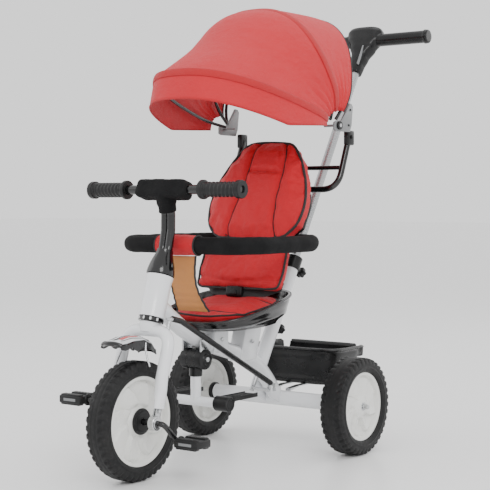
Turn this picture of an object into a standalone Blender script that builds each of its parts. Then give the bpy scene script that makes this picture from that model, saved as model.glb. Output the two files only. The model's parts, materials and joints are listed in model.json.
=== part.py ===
"""Children's tricycle with a parent handle, folding canopy, safety ring and rear basket.

Metres, +Z up, the front points to -Y and the rider's left is +X.
Lengths below are measured from the ground point under the front axle; the empty
"tricycle" shifts them so that the part's origin is the middle of its footprint.
"""

import math

import bmesh
import bpy
from mathutils import Matrix, Vector

GAP = 0.0003                      # air left between pieces that touch

# Layout of the whole tricycle
FRONT_AXLE_Y = -0.4370            # front axle in the part's own frame
WHEELBASE = 0.5365
FRONT_RADIUS = 0.130
REAR_RADIUS = 0.1156
REAR_TRACK_HALF = 0.230

# Steering axis: foot of the head tube (y, z) and its lean
HEAD_FOOT = (0.057, 0.343)
STEER_TILT = math.radians(18)
AXLE_IN_FORK = (0.0116, -0.2202)  # front axle in the tilted steering frame
FORK_HALF = 0.062
FORK_TUBE = 0.0135
BAR_Y, BAR_Z = -0.044, 0.286      # handlebar in the steering frame
BAR_HALF = 0.215
LEVER_X = 0.052                   # steering rod's pin, left of the steering axis

# Cranks and pedals
CRANK_ROD = 0.006
CRANK_Y, CRANK_Z = 0.0445, -0.0425
CRANK_ARM_X = 0.083
PEDAL_INNER, PEDAL_OUTER = 0.0930, 0.1560

# Frame tubes
MAIN_TUBE = 0.019
MAIN_PATH = ((0.072, 0.377), (0.165, 0.316), (0.213, 0.291), (0.269, 0.270), (0.366, 0.243),
             (0.427, 0.224), (0.464, 0.198), (0.500, 0.163), (0.5300, 0.1265))
AXLE_TUBE = 0.0185
POST_FOOT = (0.4665, 0.200)
POST_TILT = math.radians(30.75)
POST_TUBE = 0.0175
POST_LENGTH = 0.305
PUSH_TUBE = 0.0115
PUSH_SHAFT = 0.006
PUSH_LEVER = (0.047, 0.004, -0.058)
HANDLE_REACH = 0.976              # grip bar, along the tube

# Seat, backrest and safety ring
SEAT_Y = 0.337
SEAT_Z = 0.304
BACK_FOOT = (0.3830, 0.453)       # foot of the back cushion's front face
BACK_TILT = math.radians(22)
RING_FRONT, RING_REAR = 0.156, 0.4925
RING_HALF = 0.180
RING_Z = 0.505
RING_CORNERS = [0.088, 0.088, 0.120, 0.120]   # front right, front left, rear left, rear right
RING_TUBE = 0.020

# Canopy: hinge axis, then each bow's angle above the forward horizontal
HINGE_X, HINGE_Y, HINGE_Z = 0.160, 0.548, 0.785
BOW_WIRE = 0.004
BOWS = {
    "rear": {"angle": 110.0, "radius": 0.290, "half": 0.190, "base": 0.1600},
    "mid": {"angle": 68.0, "radius": 0.293, "half": 0.186, "base": 0.1510},
    "front": {"angle": 15.0, "radius": 0.405, "half": 0.180, "base": 0.1400},
}
VISOR_DROP = 0.062
CLOTH = 0.002
CLOTH_LIFT = 0.0045               # middle of the cloth above the bow sizes

# Basket
BASKET_HALF = 0.132
BASKET_FRONT, BASKET_REAR = 0.600, 0.757
BASKET_FLOOR, BASKET_TOP = 0.142, 0.237

# Footrest
FOOT_PIVOT = (0.215, 0.2435)
FOOT_BAR_DROP = 0.097

COLORS = {
    "white_paint": ((0.85, 0.86, 0.87), 0.22, 0.0),
    "black_plastic": ((0.020, 0.020, 0.022), 0.42, 0.0),
    "gloss_black": ((0.010, 0.010, 0.011), 0.15, 0.0),
    "black_foam": ((0.030, 0.030, 0.031), 0.85, 0.0),
    "tyre_rubber": ((0.018, 0.018, 0.019), 0.60, 0.0),
    "white_plastic": ((0.82, 0.82, 0.79), 0.32, 0.0),
    "steel": ((0.62, 0.63, 0.64), 0.25, 1.0),
    "black_metal": ((0.015, 0.015, 0.016), 0.28, 0.3),
    "red_fabric": ((0.85, 0.055, 0.05), 0.75, 0.0),
    "tan_fabric": ((0.60, 0.29, 0.10), 0.80, 0.0),
}


# ---------------------------------------------------------------- helpers

def make_material(name):
    color, roughness, metallic = COLORS[name]
    mat = bpy.data.materials.new(name)
    mat.use_nodes = True
    shader = mat.node_tree.nodes["Principled BSDF"]
    shader.inputs["Base Color"].default_value = (*color, 1.0)
    shader.inputs["Roughness"].default_value = roughness
    shader.inputs["Metallic"].default_value = metallic
    return mat


def empty(name, parent=None, location=(0, 0, 0), tilt=0.0):
    """A placing empty; a positive tilt leans its Z axis towards +Y."""
    obj = bpy.data.objects.new(name, None)
    bpy.context.scene.collection.objects.link(obj)
    obj.parent = parent
    obj.location = location
    obj.rotation_euler = (-tilt, 0, 0)
    return obj


def place(name, bm, parent, finish, location=(0, 0, 0)):
    """Turn a bmesh into a named object under its parent."""
    bmesh.ops.remove_doubles(bm, verts=bm.verts, dist=1e-6)
    bmesh.ops.recalc_face_normals(bm, faces=bm.faces)
    mesh = bpy.data.meshes.new(name)
    bm.to_mesh(mesh)
    bm.free()
    obj = bpy.data.objects.new(name, mesh)
    bpy.context.scene.collection.objects.link(obj)
    obj.parent = parent
    obj.location = location
    mesh.materials.append(MATERIALS[finish])
    mesh.shade_smooth()
    mesh.set_sharp_from_angle(angle=math.radians(35))
    return obj


def combine(target, tool, operation="DIFFERENCE"):
    """Cut a tool out of the target, or join it to the target."""
    tool.hide_render = True
    tool.display_type = "WIRE"
    mod = target.modifiers.new(operation.lower(), "BOOLEAN")
    mod.object = tool
    mod.operation = operation
    mod.solver = "EXACT"


def hollow(obj, wall):
    """Give an open skin its wall, inwards."""
    mod = obj.modifiers.new("wall", "SOLIDIFY")
    mod.thickness = wall
    mod.offset = -1.0
    mod.use_even_offset = True


def rounded(points, radius, steps=4):
    """A polyline with its inner corners turned into arcs; radius is one for all or a list."""
    points = [Vector(p) for p in points]
    radii = radius if isinstance(radius, list) else [radius] * (len(points) - 2)
    path = [points[0]]
    for before, corner, after, bend in zip(points, points[1:], points[2:], radii):
        to_before = (before - corner).normalized()
        to_after = (after - corner).normalized()
        half = to_before.angle(to_after) / 2
        reach = min(bend / math.tan(half), 0.49 * (before - corner).length,
                    0.49 * (after - corner).length)
        start = corner + to_before * reach
        end = corner + to_after * reach
        for i in range(steps + 1):
            t = i / steps
            path.append(start * (1 - t) ** 2 + corner * 2 * t * (1 - t) + end * t ** 2)
    path.append(points[-1])
    return path


def closed_rounded(points, radius, steps=5):
    """The same for a closed outline."""
    loop = [points[-1], *points, points[0]]
    return rounded(loop, radius, steps)[1:-1]


def sweep(points, radius, sides=12, caps=True, cyclic=False):
    """A round bar along a path, as a bmesh."""
    curve = bpy.data.curves.new("sweep", "CURVE")
    curve.dimensions = "3D"
    curve.bevel_depth = radius
    curve.bevel_resolution = (sides - 4) // 2
    curve.use_fill_caps = caps
    spline = curve.splines.new("POLY")
    spline.points.add(len(points) - 1)
    for point, co in zip(spline.points, points):
        point.co = (*co, 1.0)
    spline.use_cyclic_u = cyclic
    guide = bpy.data.objects.new("sweep", curve)
    bpy.context.scene.collection.objects.link(guide)
    bpy.context.view_layer.update()
    mesh = bpy.data.meshes.new_from_object(guide)
    bm = bmesh.new()
    bm.from_mesh(mesh)
    bpy.data.objects.remove(guide)
    bpy.data.meshes.remove(mesh)
    return bm


def turn(profile, steps=24, closed=False, along="Z", phase=0.0):
    """Spin (radius, height) points round an axis; a closed profile makes a ring."""
    bm = bmesh.new()
    verts = [bm.verts.new((radius, 0, height)) for radius, height in profile]
    edges = [bm.edges.new(pair) for pair in zip(verts, verts[1:])]
    if closed:
        edges.append(bm.edges.new((verts[-1], verts[0])))
    bmesh.ops.spin(bm, geom=verts + edges, cent=(0, 0, 0), axis=(0, 0, 1), angle=math.tau,
                   steps=steps, use_merge=True)
    bmesh.ops.rotate(bm, verts=bm.verts, matrix=Matrix.Rotation(phase, 3, "Z"))
    if along == "X":
        bmesh.ops.rotate(bm, verts=bm.verts, matrix=Matrix.Rotation(math.pi / 2, 3, "Y"))
    return bm


def disc_ring(inner, outer, low, high, steps=16, along="Z"):
    profile = ((inner, low), (outer, low), (outer, high), (inner, high))
    return turn(profile, steps, True, along)


def rod(radius, low, high, steps=16, along="Z"):
    return turn(((0, low), (radius, low), (radius, high), (0, high)), steps, False, along)


def block(low, high, edge=0.0):
    """A box between two corners, with its edges bevelled."""
    bm = bmesh.new()
    bmesh.ops.create_cube(bm, size=1)
    low, high = Vector(low), Vector(high)
    bmesh.ops.scale(bm, verts=bm.verts, vec=high - low)
    bmesh.ops.translate(bm, verts=bm.verts, vec=(low + high) / 2)
    if edge:
        bmesh.ops.bevel(bm, geom=bm.edges[:], offset=edge, segments=1, profile=0.5,
                        affect="EDGES", material=-1)
    return bm


def side_plate(outline, half_width):
    """An outline of (y, z) points, extruded across X."""
    bm = bmesh.new()
    face = bm.faces.new([bm.verts.new((-half_width, y, z)) for y, z in outline])
    grown = bmesh.ops.extrude_face_region(bm, geom=[face])
    moved = [v for v in grown["geom"] if isinstance(v, bmesh.types.BMVert)]
    bmesh.ops.translate(bm, verts=moved, vec=(2 * half_width, 0, 0))
    return bm


def superellipse(half_x, half_y, count, power=2.8):
    """Points round a rounded rectangle."""
    points = []
    for i in range(count):
        angle = math.tau * i / count
        c, s = math.cos(angle), math.sin(angle)
        points.append((math.copysign(abs(c) ** (2 / power), c) * half_x,
                       math.copysign(abs(s) ** (2 / power), s) * half_y))
    return points


def loft(levels, count=24, capped=(True, True), lean=0.0):
    """Skin a stack of (z, half_x, half_y) rounded rectangles; lean lifts the +Y side."""
    bm = bmesh.new()
    rings = []
    for z, half_x, half_y in levels:
        rise = lean * (z - levels[0][0]) / (levels[-1][0] - levels[0][0])
        rings.append([bm.verts.new((x, y, z + rise * y / half_y))
                      for x, y in superellipse(half_x, half_y, count)])
    for low, high in zip(rings, rings[1:]):
        for i in range(count):
            j = (i + 1) % count
            bm.faces.new((low[i], low[j], high[j], high[i]))
    if capped[0]:
        bm.faces.new(list(reversed(rings[0])))
    if capped[1]:
        bm.faces.new(rings[-1])
    return bm


# ---------------------------------------------------------------- frame

def main_path():
    return rounded([(0, y, z) for y, z in MAIN_PATH], 0.05, 1)


def build_frame(root, head, post):
    head_skin = turn(((0.0275, 0.0062), (0.0300, 0.1005)), 24)
    hollow(place("head_tube", head_skin, head, "white_paint"), 0.0025)
    ring = disc_ring(0.0140, 0.0285, -0.0045, 0.0055)
    place("headset_ring", ring, head, "gloss_black")
    place("head_bush_lower", disc_ring(0.0130, 0.0244, 0.010, 0.020), head, "steel")
    place("head_bush_upper", disc_ring(0.0130, 0.0262, 0.085, 0.095), head, "steel")

    tube = place("main_tube", sweep(main_path(), MAIN_TUBE, 12, caps=False), root, "white_paint")
    hollow(tube, 0.0016)
    combine(tube, place("cut_head", rod(0.0303, -0.02, 0.13, 32), head, "steel"))
    axle_space = rod(AXLE_TUBE + GAP, -0.10, 0.10, 32, "X")
    axle_place = (0, WHEELBASE, REAR_RADIUS)
    combine(tube, place("cut_axle", axle_space, root, "steel", axle_place))
    combine(tube, place("cut_shaft", rod(0.0068, -0.06, 0.05), post, "steel"))

    axle_skin = turn(((AXLE_TUBE, -0.186), (AXLE_TUBE, 0.186)), 20, False, "X")
    hollow(place("axle_tube", axle_skin, root, "white_paint", axle_place), 0.002)
    axle = rod(0.005, -0.268, 0.268, 12, "X")
    place("rear_axle", axle, root, "steel", axle_place)
    for side, sign in (("left", 1), ("right", -1)):
        low, high = sorted((sign * 0.1865, sign * 0.1955))
        collar = disc_ring(0.0056, 0.0225, low, high, 20, "X")
        place("axle_collar_" + side, collar, root, "black_plastic", axle_place)

    post_skin = turn(((POST_TUBE, -0.005), (POST_TUBE, POST_LENGTH)), 20)
    rear_post = place("rear_post", post_skin, post, "white_paint")
    hollow(rear_post, 0.0025)
    shape = sweep(main_path(), MAIN_TUBE + GAP, 12)
    combine(rear_post, place("cut_post", shape, root, "steel"))


def build_seat(root):
    seat = (0, SEAT_Y, SEAT_Z)
    front = place("seat_bracket", block((-0.022, 0.258, 0.250), (0.022, 0.312, SEAT_Z - GAP), 0.002),
                  root, "white_paint")
    rear = place("seat_box", block((-0.020, 0.372, 0.210), (0.020, 0.438, SEAT_Z - GAP), 0.003),
                 root, "white_paint")
    for bracket in (front, rear):
        shape = sweep(main_path(), MAIN_TUBE + GAP, 12)
        combine(bracket, place("cut_" + bracket.name, shape, root, "steel"))

    bowl = ((0.000, 0.062, 0.086), (0.008, 0.100, 0.112), (0.028, 0.124, 0.133),
            (0.058, 0.132, 0.142))
    pan = loft(bowl, 28, (True, False), lean=0.018)
    hollow(place("seat_pan", pan, root, "gloss_black", seat), 0.004)
    pad = ((0.0048, 0.052, 0.074), (0.014, 0.088, 0.100), (0.034, 0.112, 0.121),
           (0.058, 0.118, 0.125), (0.070, 0.100, 0.106))
    place("seat_cushion", loft(pad, 24, lean=0.012), root, "red_fabric", seat)


def pad_outline(profile, depth, front):
    """A cushion from (half_width, height) rows, extruded from front to front + depth."""
    left = [(-half, z) for half, z in profile]
    right = [(half, z) for half, z in reversed(profile)]
    bm = bmesh.new()
    face = bm.faces.new([bm.verts.new((x, front, z)) for x, z in left + right])
    grown = bmesh.ops.extrude_face_region(bm, geom=[face])
    moved = [v for v in grown["geom"] if isinstance(v, bmesh.types.BMVert)]
    bmesh.ops.translate(bm, verts=moved, vec=(0, depth, 0))
    return bm


def build_back(root, back):
    cushion = ((0.070, 0.066), (0.116, 0.080), (0.141, 0.112), (0.146, 0.160), (0.136, 0.212),
               (0.114, 0.262), (0.086, 0.302), (0.058, 0.326))
    place("back_cushion", pad_outline(cushion, 0.044, 0.0), back, "red_fabric")
    board = ((0.070, 0.004), (0.086, 0.020), (0.086, 0.074), (0.128, 0.115), (0.132, 0.170),
             (0.108, 0.240), (0.070, 0.295))
    place("back_board", pad_outline(board, 0.010, 0.046), back, "black_plastic")
    lumbar = ((0.112, -0.058), (0.127, -0.046), (0.127, 0.040), (0.118, 0.052))
    place("lumbar_cushion", pad_outline(lumbar, 0.034, 0.002), back, "red_fabric")


def ring_path():
    corners = ((-RING_HALF, RING_FRONT), (RING_HALF, RING_FRONT),
               (RING_HALF, RING_REAR), (-RING_HALF, RING_REAR))
    return closed_rounded([(x, y, RING_Z) for x, y in corners], RING_CORNERS, 5)


def build_ring(root):
    ring = sweep(ring_path(), RING_TUBE, 10, cyclic=True)
    place("safety_ring", ring, root, "black_foam")
    sleeve = turn(((RING_TUBE + GAP, -0.055), (RING_TUBE + 0.0028, -0.055),
                   (RING_TUBE + 0.0028, 0.055), (RING_TUBE + GAP, 0.055)), 20, True, "X")
    place("ring_wrap", sleeve, root, "red_fabric", (0, RING_FRONT, RING_Z))
    outline = ((0.1570, 0.4815), (0.1620, 0.430), (0.1740, 0.380), (0.1890, 0.3450),
               (0.1865, 0.3435), (0.1712, 0.3795), (0.1592, 0.4295), (0.1542, 0.4815))
    place("crotch_panel", side_plate(outline, 0.047), root, "tan_fabric")


def build_basket(root):
    height = BASKET_TOP - BASKET_FLOOR
    middle = (BASKET_FRONT + BASKET_REAR) / 2
    half_y = (BASKET_REAR - BASKET_FRONT) / 2
    walls = ((0.0, 0.100, half_y - 0.020), (0.012, 0.108, half_y - 0.014),
             (height, BASKET_HALF, half_y))
    tub = place("basket", loft(walls, 28, (True, False)), root, "black_plastic",
                (0, middle, BASKET_FLOOR))
    hollow(tub, 0.003)
    for sign in (-1, 1):
        notch = block((-0.022, -0.020, -0.035), (0.022, 0.020, 0.020))
        corner = (sign * 0.112, BASKET_REAR - 0.004, BASKET_TOP)
        combine(tub, place("cut_basket", notch, root, "steel", corner))
    strip = ((0.5560, 0.1310), (0.5560, 0.1375), (0.6000, 0.1412), (0.7100, 0.1412),
             (0.7100, 0.1380), (0.6000, 0.1380), (0.5600, 0.1310))
    place("basket_bracket", side_plate(strip, 0.030), root, "steel")


# ---------------------------------------------------------------- canopy

def bow_point(bow, turn_angle, spread=0.0):
    """Half-turn position on a bow: (x, distance from the hinge axis)."""
    c, s = math.cos(turn_angle), math.sin(turn_angle)
    x = math.copysign(abs(c) ** 0.8, c) * (bow["half"] + spread)
    reach = max(s, 0.0) ** 0.8 * (bow["radius"] + spread)
    pinch = max(0.0, 1 - reach / 0.10) ** 2
    x -= math.copysign((bow["half"] - bow["base"]) * pinch, x)
    return x, reach


def polar(x, reach, angle):
    """A canopy point from its reach and its angle above the forward horizontal."""
    return Vector((x, -reach * math.cos(angle), reach * math.sin(angle)))


def bow_wire(name, key, parent):
    bow = BOWS[key]
    angle = math.radians(bow["angle"])
    path = []
    for i in range(19):
        turn_angle = math.radians(1.5) + (math.pi - math.radians(3)) * i / 18
        x, reach = bow_point(bow, turn_angle, -BOW_WIRE - CLOTH)
        path.append(polar(x, max(reach, 0.010), angle))
    place(name, sweep(path, BOW_WIRE, 8), parent, "black_metal")


def blend_bow(first, second, t):
    return {key: first[key] * (1 - t) + second[key] * t for key in first}


def cover(name, stations, parent, segments=16):
    """Cloth over a fan of (angle, bow, sag, drop) stations round the hinge axis."""
    bm = bmesh.new()
    bmesh.ops.create_grid(bm, x_segments=segments, y_segments=len(stations) - 1, size=0.5)
    for vert in bm.verts:
        across = vert.co.x + 0.5
        row = round((vert.co.y + 0.5) * (len(stations) - 1))
        degrees, bow, sag, drop = stations[row]
        angle = math.radians(degrees)
        turn_angle = math.radians(5) + math.radians(170) * across
        x, reach = bow_point(bow, turn_angle, CLOTH_LIFT)
        pull = 1 - sag * max(0.0, math.sin(turn_angle))
        hang = drop * min(1.0, reach / 0.20)
        vert.co = polar(x * pull, reach * pull, angle)
        vert.co -= hang * Vector((0, math.sin(angle), math.cos(angle)))
    obj = place(name, bm, parent, "red_fabric")
    mod = obj.modifiers.new("cloth", "SOLIDIFY")
    mod.thickness = CLOTH
    mod.offset = 0.0
    return obj


def fan(first, second, count, sag, margin=0.7):
    """Stations from one bow to the next, dipping between them."""
    stations = []
    for i in range(count + 1):
        t = i / count
        angle = first["angle"] * (1 - t) + second["angle"] * t
        if i == 0:
            angle += math.copysign(margin, second["angle"] - first["angle"])
        stations.append((angle, blend_bow(first, second, t), sag * math.sin(math.pi * t), 0.0))
    return stations


def build_canopy(root, hinge):
    rear, mid, front = BOWS["rear"], BOWS["mid"], BOWS["front"]
    bow_wire("canopy_bow_rear", "rear", hinge)
    bow_wire("canopy_bow_mid", "mid", hinge)
    bow_wire("canopy_bow_front", "front", hinge)
    cover("canopy_rear_cover", fan(mid, rear, 4, 0.035), hinge)
    visor = [(front["angle"], front, 0.0, VISOR_DROP * t) for t in (0.5, 1.0)]
    cover("canopy_front_cover", fan(mid, front, 6, 0.040) + visor, hinge)

    stay_z = 0.632
    lean_y = math.tan(BACK_TILT)
    top = (HINGE_X, 0.5675 + lean_y * (0.758 - stay_z), 0.758)
    corner = (HINGE_X, 0.5675, stay_z)
    mirrored = [(-x, y, z) for x, y, z in (corner, top)]
    stay = sweep(rounded([top, corner, *mirrored], 0.045, 5), 0.0078, 10)
    stay = place("canopy_stay", stay, root, "black_metal")
    cross_z = 0.685
    cross_place = (0, 0.5675 + lean_y * (cross_z - stay_z), cross_z)
    cross = rod(0.0055, -HINGE_X, HINGE_X, 10, "X")
    combine(stay, place("crossbar", cross, root, "black_metal", cross_place), "UNION")
    for side, sign in (("left", 1), ("right", -1)):
        outline = ((-0.018, -0.010), (0.052, -0.014), (0.066, 0.048), (0.050, 0.056),
                   (0.014, 0.012), (-0.018, 0.008))
        plate = side_plate(outline, 0.0030)
        bracket = place("canopy_hinge_" + side, plate, hinge, "black_metal",
                        (sign * (HINGE_X + 0.0125), 0, 0))
        pin = rod(0.0032, *sorted((sign * 0.134, sign * (HINGE_X + 0.012))), 12, "X")
        combine(bracket, place("pin_" + side, pin, hinge, "steel"), "UNION")


# ---------------------------------------------------------------- steering

def build_steering(head):
    corner = (FORK_HALF, 0.0, -0.0225)
    leg = ((FORK_HALF, 0.0, -0.120), (FORK_HALF, AXLE_IN_FORK[0], -0.187))
    right = [corner, *leg]
    left = [(-x, y, z) for x, y, z in reversed(right)]
    path = rounded(left + right, 0.040, 4)
    fork = place("fork", sweep(path, FORK_TUBE, 12), head, "white_paint")
    combine(fork, place("steerer", rod(0.0125, -0.022, 0.118, 16), head, "steel"), "UNION")
    pin = rod(0.0045, -0.040, 0.0085, 12)
    combine(fork, place("lever_pin", pin, head, "steel", (LEVER_X, 0, 0)), "UNION")

    for side, sign in (("left", 1), ("right", -1)):
        y, z = AXLE_IN_FORK
        low, high = sorted((sign * 0.0495, sign * 0.0660))
        eye = place("fork_end_" + side, rod(0.0165, low, high, 20, "X"), head, "steel", (0, y, z))
        low, high = sorted((sign * 0.0540, sign * 0.0640))
        strap = block((low, -0.008, 0.005), (high, 0.008, 0.0290))
        combine(eye, place("strap_" + side, strap, head, "steel", (0, y, z)), "UNION")
        bore = rod(CRANK_ROD + 0.0004, -0.1, 0.1, 20, "X")
        combine(eye, place("bore_" + side, bore, head, "steel", (0, y, z)))

    cone = ((0.0310, 0.1020), (0.0300, 0.1200), (0.0245, 0.1400), (0.0172, 0.1590),
            (0.0160, 0.1590), (0.0222, 0.1390), (0.0275, 0.1190), (0.0285, 0.1020))
    place("steering_cone", turn(cone, 24, True), head, "gloss_black")

    stem = [(0, 0, 0.1190), (0, 0, 0.168), (0, -0.004, 0.205), (0, -0.014, 0.238),
            (0, -0.029, 0.266), (0, BAR_Y, BAR_Z)]
    bar = place("handlebar", rod(0.0105, -BAR_HALF + 0.004, BAR_HALF - 0.004, 16, "X"), head,
                "black_metal", (0, BAR_Y, BAR_Z))
    tube = place("stem", sweep(rounded(stem, 0.03, 2), 0.0152, 14), head, "black_metal")
    combine(bar, tube, "UNION")
    pad = block((-0.071, -0.025, -0.023), (0.071, 0.025, 0.023), 0.010)
    pad = place("bar_pad", pad, head, "black_foam", (0, BAR_Y, BAR_Z))
    combine(pad, place("cut_bar", rod(0.0108, -0.1, 0.1, 20, "X"), head, "steel",
                       (0, BAR_Y, BAR_Z)))
    beyond = (Vector(stem[-1]) - Vector(stem[-2])).normalized() * 0.001
    stem_space = sweep(rounded([*stem[:-1], Vector(stem[-1]) + beyond], 0.03, 2), 0.0156, 14)
    combine(pad, place("cut_stem", stem_space, head, "steel"))
    for side, sign in (("left", 1), ("right", -1)):
        inner, outer = BAR_HALF - 0.110, BAR_HALF
        profile = ((0.0108, inner), (0.0215, inner), (0.0215, inner + 0.010),
                   (0.0162, inner + 0.014), (0.0162, outer - 0.018), (0.0200, outer - 0.014),
                   (0.0200, outer - 0.003), (0.0060, outer), (0.0060, outer - 0.0032),
                   (0.0108, outer - 0.0032))
        profile = [(radius, sign * x) for radius, x in profile]
        place("grip_" + side, turn(profile, 14, True, "X"), head, "black_plastic",
              (0, BAR_Y, BAR_Z))


def build_fender(root, head):
    """The outline is worked out upright and turned into the steering frame."""
    outline = ((-0.081, 0.296), (-0.082, 0.303), (-0.062, 0.306), (-0.028, 0.313), (0.000, 0.312),
               (0.026, 0.302), (0.044, 0.282), (0.046, 0.268), (0.030, 0.272), (0.012, 0.288),
               (-0.020, 0.296), (-0.055, 0.294))
    bm = side_plate([(y - HEAD_FOOT[0], z - HEAD_FOOT[1]) for y, z in outline], 0.031)
    bmesh.ops.rotate(bm, verts=bm.verts, matrix=Matrix.Rotation(STEER_TILT, 3, "X"))
    place("fender", bm, head, "black_plastic")


def build_front_wheel(wheel, crank):
    steps = 32
    rim = 0.0978
    facet = FRONT_RADIUS / math.cos(math.pi / steps)
    tyre = ((rim, -0.0215), (0.106, -0.0272), (0.121, -0.0268), (facet, -0.0170),
            (facet, 0.0170), (0.121, 0.0268), (0.106, 0.0272), (rim, 0.0215))
    place("front_tyre", turn(tyre, steps, True, "X", math.pi / steps), wheel, "tyre_rubber")
    disc = ((0.0972, -0.0205), (0.0972, 0.0205), (0.0900, 0.0205), (0.0870, 0.0070),
            (0.0320, 0.0110), (0.0240, 0.0190), (0.0075, 0.0190), (0.0075, -0.0190),
            (0.0240, -0.0190), (0.0320, -0.0110), (0.0870, -0.0070), (0.0900, -0.0205))
    place("front_rim", turn(disc, 24, True, "X", math.pi / steps), wheel, "white_plastic")
    for side, sign in (("left", 1), ("right", -1)):
        cap = ((0.0075, 0.0195), (0.0285, 0.0195), (0.0285, 0.0225), (0.0220, 0.0260),
               (0.0075, 0.0260))
        cap = [(radius, sign * x) for radius, x in cap]
        place("hub_cover_" + side, turn(cap, 20, True, "X"), wheel, "black_plastic")

    arm = [(PEDAL_OUTER - 0.003, CRANK_Y, CRANK_Z), (CRANK_ARM_X, CRANK_Y, CRANK_Z),
           (CRANK_ARM_X, 0, 0)]
    path = arm + [(-x, -y, -z) for x, y, z in reversed(arm)]
    place("crank", sweep(rounded(path, 0.012, 3), CRANK_ROD, 8), crank, "black_metal")


def build_pedal(name, parent, sign):
    low, high = sorted((sign * PEDAL_INNER, sign * PEDAL_OUTER))
    body = place(name, block((low, -0.026, -0.012), (high, 0.026, 0.012), 0.003), parent,
                 "black_plastic")
    combine(body, place("bore_" + name, rod(CRANK_ROD + 0.0005, -0.2, 0.2, 20, "X"), parent,
                        "steel"))


def build_rear_wheel(side, sign, parent):
    steps = 26
    rim = 0.0815
    facet = REAR_RADIUS / math.cos(math.pi / steps)
    tyre = ((rim, -0.0240), (0.090, -0.0300), (0.106, -0.0304), (facet, -0.0205),
            (facet, 0.0205), (0.106, 0.0304), (0.090, 0.0300), (rim, 0.0240))
    place("rear_tyre_" + side, turn(tyre, steps, True, "X", math.pi / steps), parent,
          "tyre_rubber")
    disc = ((0.0809, -0.0230), (0.0809, 0.0230), (0.0745, 0.0230), (0.0710, 0.0110),
            (0.0300, 0.0090), (0.0180, 0.0220), (0.0062, 0.0240), (0.0062, -0.0330),
            (0.0170, -0.0330), (0.0230, -0.0100), (0.0710, -0.0110), (0.0745, -0.0230))
    disc = [(radius, sign * x) for radius, x in disc]
    place("rear_rim_" + side, turn(disc, 20, True, "X", math.pi / steps), parent,
          "white_plastic")


# ---------------------------------------------------------------- parent handle

def build_push(post, push):
    tube = turn(((PUSH_TUBE, 0.150), (PUSH_TUBE, 0.905)), 16)
    hollow(place("push_tube", tube, push, "steel"), 0.0015)
    shaft = place("push_shaft", rod(PUSH_SHAFT, PUSH_LEVER[2] - 0.006, 0.275, 12), push, "steel")
    x, y, z = PUSH_LEVER
    arm = sweep([(0, 0, z), (x, y, z)], 0.0050, 8)
    combine(shaft, place("push_arm", arm, push, "steel"), "UNION")

    hub = loft(((0.868, 0.016, 0.017), (0.900, 0.018, 0.020), (0.940, 0.034, 0.026),
                (0.978, 0.054, 0.030), (1.004, 0.050, 0.028), (1.014, 0.036, 0.020)), 20)
    handle = place("push_handle", hub, push, "black_plastic")
    bar = rod(0.0185, -0.195, 0.195, 18, "X")
    bar = place("handle_bar", bar, push, "black_plastic", (0, 0, HANDLE_REACH))
    combine(handle, bar, "UNION")
    socket = rod(PUSH_TUBE + GAP, 0.80, 0.9055, 20)
    combine(handle, place("cut_handle", socket, push, "steel"))
    well = rod(0.0062, 0.990, 1.030, 16)
    combine(handle, place("cut_button", well, push, "steel"))
    button = rod(0.0056, 0.994, 1.0185, 14)
    place("handle_button", button, push, "steel")


def build_steering_rod(root):
    lean = Matrix.Rotation(-STEER_TILT, 3, "X")
    foot = Vector((0, *HEAD_FOOT))
    front = foot + lean @ Vector((LEVER_X, 0, 0.0055))
    post_lean = Matrix.Rotation(-POST_TILT, 3, "X")
    rear = Vector((0, *POST_FOOT)) + post_lean @ Vector(PUSH_LEVER)
    rear += Vector((0.0, 0.006, 0.017))
    path = [front + Vector((0, 0.008, 0.0)), front + Vector((0, 0.040, -0.008)), rear]
    place("steering_rod", sweep(rounded(path, 0.06, 4), 0.0065, 10), root, "black_plastic")


def build_knob(parent):
    profile = ((0.0, 0.0182), (0.0050, 0.0182), (0.0050, 0.034), (0.0130, 0.036),
               (0.0150, 0.044), (0.0120, 0.052), (0.0, 0.054))
    bm = turn(profile, 14)
    bmesh.ops.rotate(bm, verts=bm.verts, matrix=Matrix.Rotation(-math.pi / 2, 3, "X"))
    place("height_knob", bm, parent, "black_plastic")


# ---------------------------------------------------------------- footrest

def build_footrest(root, foot, plates):
    saddle = place("footrest_bracket", block((-0.028, 0.197, 0.244), (0.028, 0.233, 0.285), 0.002),
                   root, "steel")
    shape = sweep(main_path(), MAIN_TUBE + GAP, 12)
    combine(saddle, place("cut_saddle_tube", shape, root, "steel"))
    barrel_space = rod(0.0243, -0.05, 0.05, 28, "X")
    combine(saddle, place("cut_saddle", barrel_space, foot, "steel"))

    barrel = place("footrest", rod(0.0240, -0.033, 0.033, 20, "X"), foot, "black_plastic")
    post = rod(0.0120, -FOOT_BAR_DROP, -0.005, 14)
    combine(barrel, place("foot_post", post, foot, "white_paint"), "UNION")
    bar = rod(0.0110, -0.096, 0.096, 14, "X")
    combine(barrel, place("foot_bar", bar, foot, "white_paint", (0, 0, -FOOT_BAR_DROP)), "UNION")
    for sign, parent in zip((1, -1), plates):
        side = "left" if sign > 0 else "right"
        low, high = sorted((sign * 0.0600, sign * 0.0990))
        hub = place("foot_plate_" + side, rod(0.0175, low, high, 18, "X"), parent,
                    "black_plastic")
        plate = block((low, -0.004, 0.0045), (high, 0.108, 0.0165), 0.001)
        combine(hub, place("plate_" + side, plate, parent, "black_plastic"), "UNION")
        bore = rod(0.0114, -0.12, 0.12, 20, "X")
        combine(hub, place("bore_plate_" + side, bore, parent, "steel"))


# ---------------------------------------------------------------- assembly

for old in list(bpy.data.objects):
    bpy.data.objects.remove(old, do_unlink=True)

MATERIALS = {finish: make_material(finish) for finish in COLORS}

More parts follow.
